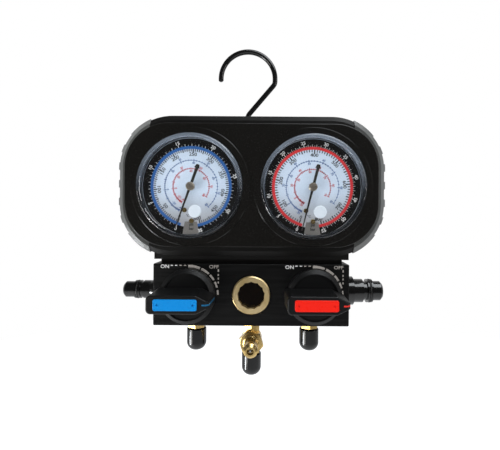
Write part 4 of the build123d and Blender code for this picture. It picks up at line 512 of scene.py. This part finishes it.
# Ticks: (how far they reach from the ring, width)
BAR_TICK_GAP = 0.1 * MM
BAR_LABEL_TICK = (2.1 * MM, 0.4 * MM)
BAR_TICK = (1.7 * MM, 0.28 * MM)
BAR_HALF_TICK = (0.9 * MM, 0.22 * MM)
BAR_TEXT_RADIUS = 34.7 * MM
BAR_HEIGHT = 2.5 * MM
BAR_LABEL_STEP = 5
BAR_BOLD = 0.015
BAR_END_BOLD = 0.04
BAR_END_ANGLE = SCALE_START + SCALE_SPAN + 2

PSI_TICK_GAP = 0.05 * MM
PSI_LABEL_TICK = (2.8 * MM, 0.95 * MM)
PSI_MIDDLE_TICK = (2.5 * MM, 0.9 * MM)
PSI_TICK = (2.0 * MM, 0.72 * MM)
PSI_TEXT_RADIUS = 24.9 * MM
PSI_HEIGHT = 2.7 * MM
PSI_BOLD = 0.025
PSI_ZERO_ANGLE = SCALE_START + 1
PSI_END_PLACE = (4.9 * MM, -24.6 * MM)
PSI_END_TURN = 8
PSI_END_WIDTH = 1.05

DEGREE_PLACE = (-2.6 * MM, -22.6 * MM)
DEGREE_HEIGHT = 1.8 * MM
UNIT_X = 0.4 * MM
PSI_UNIT_Z = -29.3 * MM
BAR_UNIT_Z = -32.6 * MM
UNIT_HEIGHT = 2.1 * MM
UNIT_BOLD = 0.05
TAB_TOP = (-27.1 * MM, 4.75 * MM)  # height and half width
TAB_BOTTOM = (-37.2 * MM, 6.5 * MM)

# Temperature scales, the outer one first, radii in millimetres; curve crowds the steps at the start
TEMPERATURE_SCALES = {
    "low": [
        {"radius": 20.4, "from": 206.0, "to": 499.4, "labels": range(-40, 90, 10), "curve": 1.5},
        {"radius": 14.0, "from": 210.6, "to": 483.6, "labels": range(-40, 90, 10), "curve": 1.5},
    ],
    "high": [
        {"radius": 20.4, "from": 204.0, "to": 487.0, "labels": range(-30, 100, 10), "curve": 1.6},
        {"radius": 14.0, "from": 208.0, "to": 480.0, "labels": range(-30, 100, 10), "curve": 1.6},
    ],
}
TEMPERATURE_INKS = (FAINT_BLUE_INK, FAINT_RED_INK)
TEMPERATURE_LINE_HALF = 0.18 * MM
TEMPERATURE_LABEL_TICK = (1.1 * MM, 0.55 * MM)  # half length and width
TEMPERATURE_TICK = (0.65 * MM, 0.45 * MM)
TEMPERATURE_TEXT_REACH = 2.1 * MM
TEMPERATURE_TEXT_HEIGHT = 1.7 * MM
TICKS_PER_LABEL = 5
LAST_CROWDED_LABEL = 5  # up to this one, only labels that divide by ROUND_LABEL are printed
ROUND_LABEL = 20


def scale_angle(value, full):
    return SCALE_START + SCALE_SPAN * value / full


def layer(side, level):
    """Printing on one dial, at a level over its plate."""
    return Print(dial_front - PRINT_LIFT - level * PRINT_STEP, *dial_places[side])


def print_border_and_ring(side):
    border = layer(side, BORDER_LEVEL)
    border.band(RING_OUTER, BORDER_RADIUS, 0, 360, ANNULUS_STEPS)
    border.make(f"{side}_dial_border", DIAL_BLACK, "dial_white")
    ring = layer(side, RING_LEVEL)
    ring_end = SCALE_START + SCALE_SPAN + RING_PAST_SCALE
    ring.band(RING_INNER, RING_OUTER, SCALE_START - RING_PAST_SCALE, ring_end, ANNULUS_STEPS)
    ring.make(f"{side}_dial_ring", DIALS[side]["ring"], "dial_white")


def print_bar_scale(side):
    """White half bars, bars and numerals outside the ring."""
    facts = DIALS[side]
    white = layer(side, SCALE_LEVEL)
    for index in range(facts["bar"] * 2 + 1):
        bar, half = divmod(index, 2)
        angle = scale_angle(index / 2 * PSI_PER_BAR, facts["psi"])
        labelled = not half and bar % BAR_LABEL_STEP == 0
        length, width = BAR_LABEL_TICK if labelled else BAR_HALF_TICK if half else BAR_TICK
        white.tick(angle, RING_OUTER + BAR_TICK_GAP, RING_OUTER + length, width)
        if labelled:
            white.dial_text(str(bar), angle, BAR_TEXT_RADIUS, BAR_HEIGHT, NUMERAL_WIDTH, BAR_BOLD)
    if facts["bar"] % BAR_LABEL_STEP:
        end_words = str(facts["bar"] + 1)
        white.dial_text(end_words, BAR_END_ANGLE, BAR_TEXT_RADIUS, BAR_HEIGHT, bold=BAR_END_BOLD)
    white.make(f"{side}_bar_scale", WHITE_INK, "dial_white")


def print_psi_scale(side):
    """Black ticks and numerals inside the ring, and the units."""
    facts = DIALS[side]
    black = layer(side, SCALE_LEVEL)
    for index in range(facts["psi"] // facts["psi_minor"] + 1):
        value = index * facts["psi_minor"]
        angle = scale_angle(value, facts["psi"])
        length, width = PSI_TICK
        if value % facts["psi_label"] == 0:
            length, width = PSI_LABEL_TICK
        elif value % facts["psi_middle"] == 0:
            length, width = PSI_MIDDLE_TICK
        black.tick(angle, RING_INNER - length, RING_INNER - PSI_TICK_GAP, width)
        if value % facts["psi_label"] == 0 and 0 < value < facts["psi"]:
            black.dial_text(str(value), angle, PSI_TEXT_RADIUS, PSI_HEIGHT, NUMERAL_WIDTH, PSI_BOLD)
    black.dial_text("0", PSI_ZERO_ANGLE, PSI_TEXT_RADIUS, PSI_HEIGHT)
    black.text(str(facts["psi"]), *PSI_END_PLACE, PSI_HEIGHT, PSI_END_TURN, PSI_END_WIDTH)
    black.text("°C", *DEGREE_PLACE, DEGREE_HEIGHT)
    black.text("psi", UNIT_X, PSI_UNIT_Z, UNIT_HEIGHT, bold=UNIT_BOLD)
    black.text("bar", UNIT_X, BAR_UNIT_Z, UNIT_HEIGHT, bold=UNIT_BOLD)
    black.make(f"{side}_psi_scale", BLACK_INK, "dial_white")


def print_tab(side):
    """Grey plate under the units."""
    tab = layer(side, TAB_LEVEL)
    top_z, top_half = TAB_TOP
    bottom_z, bottom_half = TAB_BOTTOM
    bottom_corners = [(-bottom_half, bottom_z), (bottom_half, bottom_z)]
    tab.polygon(bottom_corners + [(top_half, top_z), (-top_half, top_z)])
    tab.make(f"{side}_dial_tab", TAB_GREY, "dial_white")


def print_temperature_scale(side, number, facts):
    scale = layer(side, SCALE_LEVEL)
    radius = facts["radius"] * MM
    inner, outer = radius - TEMPERATURE_LINE_HALF, radius + TEMPERATURE_LINE_HALF
    scale.band(inner, outer, facts["from"], facts["to"], SCALE_LINE_STEPS)
    labels = list(facts["labels"])
    steps = (len(labels) - 1) * TICKS_PER_LABEL
    for index in range(steps + 1):
        share = (index / steps) ** facts["curve"]
        angle = facts["from"] + (facts["to"] - facts["from"]) * share
        place, between = divmod(index, TICKS_PER_LABEL)
        half_length, width = TEMPERATURE_TICK if between else TEMPERATURE_LABEL_TICK
        scale.tick(angle, radius - half_length, radius + half_length, width)
        if not between and (labels[place] % ROUND_LABEL == 0 or place > LAST_CROWDED_LABEL):
            reach = TEMPERATURE_TEXT_REACH if place % 2 else -TEMPERATURE_TEXT_REACH
            scale.dial_text(str(labels[place]), angle, radius + reach, TEMPERATURE_TEXT_HEIGHT)
    scale.make(f"{side}_temperature_scale_{number}", TEMPERATURE_INKS[number], "dial_white")


for side_name in SIDES:
    print_border_and_ring(side_name)
    print_bar_scale(side_name)
    print_psi_scale(side_name)
    print_tab(side_name)
    for scale_number, scale_facts in enumerate(TEMPERATURE_SCALES[side_name]):
        print_temperature_scale(side_name, scale_number, scale_facts)


# ---- Printing on the block: ON and OFF with dashes and a tapering arc round each knob ----
ON_PLACE = (-18.7 * MM, 21.8 * MM)
ON_HEIGHT = 2.8 * MM
ON_WIDTH = 1.12
OFF_PLACE = (19.4 * MM, 21.7 * MM)
OFF_HEIGHT = 2.7 * MM
OFF_WIDTH = 1.15
MARK_BOLD = 0.015
DASHES = 4
LIT_DASHES = 2
DASH_FIRST_X = -13.35 * MM
DASH_PITCH = 3.42 * MM
DASH_HALF = 0.87 * MM
DASH_BOTTOM = 22.45 * MM
DASH_TOP = 23.15 * MM
DROPS = ((18.0, 20.0), (14.8, 16.2), (12.0, 13.4), (8.9, 10.4))  # bottoms and tops, in millimetres
DROP_LEFT = 22.45 * MM
DROP_RIGHT = 23.35 * MM
ARC_SEGMENTS = ((-1.5, 22.5), (25.5, 43.6), (46.6, 59.2), (63.5, 75.3), (80.6, 89.7))
ARC_OUTER = 23.3 * MM
ARC_THICK_START = 2.1 * MM
ARC_THICK_END = 1.25 * MM
ARC_SWEEP = 90


def arc_inner(angle):
    thick = ARC_THICK_START + (ARC_THICK_END - ARC_THICK_START) * angle / ARC_SWEEP
    return ARC_OUTER - thick


def print_valve_marks(side):
    # painted shade: ON and its first dashes keep the white ink, and the other marks take a darker copy
    # of it
    lit_marks = Print(block_front - PRINT_LIFT, *knob_places[side])
    shaded_marks = Print(block_front - PRINT_LIFT, *knob_places[side])
    lit_marks.text("ON", *ON_PLACE, ON_HEIGHT, 0, ON_WIDTH, MARK_BOLD)
    for index in range(DASHES):
        dash_x = DASH_FIRST_X + DASH_PITCH * index
        target = lit_marks if index < LIT_DASHES else shaded_marks
        target.rectangle(dash_x - DASH_HALF, DASH_BOTTOM, dash_x + DASH_HALF, DASH_TOP)
    for start, end in ARC_SEGMENTS:
        shaded_marks.band(arc_inner(start), ARC_OUTER, start, end, ARC_SEGMENT_STEPS, arc_inner(end))
    shaded_marks.text("OFF", *OFF_PLACE, OFF_HEIGHT, 0, OFF_WIDTH, MARK_BOLD)
    for bottom, top in DROPS:
        shaded_marks.rectangle(DROP_LEFT, bottom * MM, DROP_RIGHT, top * MM)
    lit_marks.make(f"{side}_valve_on_mark", WHITE_INK, "black_anodised")
    shaded_marks.make(f"{side}_valve_off_mark", SHADED_WHITE_INK, "black_anodised")


for side_name in SIDES:
    print_valve_marks(side_name)


# ---- Floor ----
FLOOR_Z = -0.45
FLOOR_RADIUS = 1.6
FLOOR_SIDES = 64
FLOOR_GLOW = 0.8
MIRRORED_FLOOR_GLOW = 0.2


def floor_material():
    """Pale matt floor that shows near white and still takes a shadow."""
    made = Material("pale_floor")
    made.colour(made.mix_colour(made.noise(30.0, 3.0), (0.86, 0.86, 0.86), (0.9, 0.9, 0.9)))
    made.set(Roughness=0.8, Specular_IOR_Level=0.1, Emission_Color=(1, 1, 1, 1))
    glow = made.ramp(made.ray("Glossy"), FLOOR_GLOW, MIRRORED_FLOOR_GLOW)
    made.link(made.math("MULTIPLY", glow, made.seen_ray()), made.shader.inputs["Emission Strength"])
    return made.material


floor_turns = [math.tau * step / FLOOR_SIDES for step in range(FLOOR_SIDES)]
floor_edge = [
    (FLOOR_RADIUS * math.cos(turn), FLOOR_RADIUS * math.sin(turn), FLOOR_Z) for turn in floor_turns]
floor_mesh = bpy.data.meshes.new("floor")
floor_mesh.from_pydata(floor_edge, [], [tuple(range(FLOOR_SIDES))])
floor_mesh.materials.append(floor_material())
floor = bpy.data.objects.new("floor", floor_mesh)
scene.collection.objects.link(floor)

# ---- World: soft room light on the part, and white where the room itself is seen ----
ROOM_COLOUR = (0.92, 0.95, 1.0, 1)
ROOM_STRENGTH = 0.42
FRONT_STRENGTH = 0.1  # shiny pieces mirror a darker room in front
BACK_STRENGTH = 1.0  # and a brighter one behind
FRONT_ENDS = 0.1  # as Y of a direction
BACK_BEGINS = 0.8
WHITE = (1, 1, 1, 1)


def light_world(world):
    """Room light on the part, white for the camera and through glass, a shaded room in mirrors."""
    world.use_nodes = True
    made = Nodes(world.node_tree)
    room = made.tree.nodes["Background"]
    room.inputs["Color"].default_value = ROOM_COLOUR
    room.inputs["Strength"].default_value = ROOM_STRENGTH
    towards = made.axis("Y", made.add("ShaderNodeTexCoord").outputs["Generated"])
    mirrored = made.add("ShaderNodeBackground")
    strength = made.ramp(towards, FRONT_STRENGTH, BACK_STRENGTH, FRONT_ENDS, BACK_BEGINS)
    made.link(strength, mirrored.inputs["Strength"])
    white = made.add("ShaderNodeBackground", Color=WHITE)
    glossy = made.ray("Glossy")
    backdrop = made.mix_shader(glossy, white.outputs["Background"], mirrored.outputs["Background"])
    shown = made.mix_shader(made.seen_ray(), room.outputs["Background"], backdrop)
    made.link(shown, made.tree.nodes["World Output"].inputs["Surface"])


scene.world = bpy.data.worlds.new("studio")
light_world(scene.world)

# ---- Lamps and camera ----
LIGHT_TARGET = Vector((0, -0.02, 0.06))


def area_light(name, place, size, power, colour):
    """A lamp that faces the target, with its power in watts."""
    lamp = bpy.data.lights.new(name, "AREA")
    lamp.shape = "RECTANGLE"
    lamp.size, lamp.size_y = size
    lamp.energy = power
    lamp.color = colour
    holder = bpy.data.objects.new(name, lamp)
    holder.location = place
    direction = LIGHT_TARGET - Vector(place)
    holder.rotation_euler = direction.to_track_quat("-Z", "Y").to_euler()
    scene.collection.objects.link(holder)


area_light("top_light", (0.3, -0.35, 0.8), (0.7, 0.5), 6.6, (0.93, 0.97, 1.0))
area_light("left_light", (-0.75, -0.5, -0.15), (0.25, 0.5), 3.5, (1.0, 0.98, 0.95))
area_light("right_light", (0.85, -0.45, 0.25), (0.2, 0.6), 2.2, (1.0, 0.98, 0.96))
area_light("low_light", (-0.65, -0.2, -0.42), (0.12, 0.4), 6.0, (0.95, 0.98, 1.0))

CAMERA_PLACE = (10.0 * MM, -314 * MM, 58.2 * MM)
FOCAL_SHARE = 360 / 500  # focal length over picture width
CAMERA_ROLL = -0.4  # degrees
CAMERA_SHIFT = (-0.029, -0.0092)
SENSOR_WIDTH = 36.0
camera = bpy.data.cameras.new("camera")
camera.sensor_width = SENSOR_WIDTH
camera.lens = SENSOR_WIDTH * FOCAL_SHARE
camera.shift_x, camera.shift_y = CAMERA_SHIFT
camera.clip_start = 0.01
camera_holder = bpy.data.objects.new("camera", camera)
camera_holder.location = CAMERA_PLACE
camera_holder.rotation_euler = (math.radians(90), math.radians(CAMERA_ROLL), 0)
scene.collection.objects.link(camera_holder)
scene.camera = camera_holder
scene.view_settings.view_transform = "Standard"
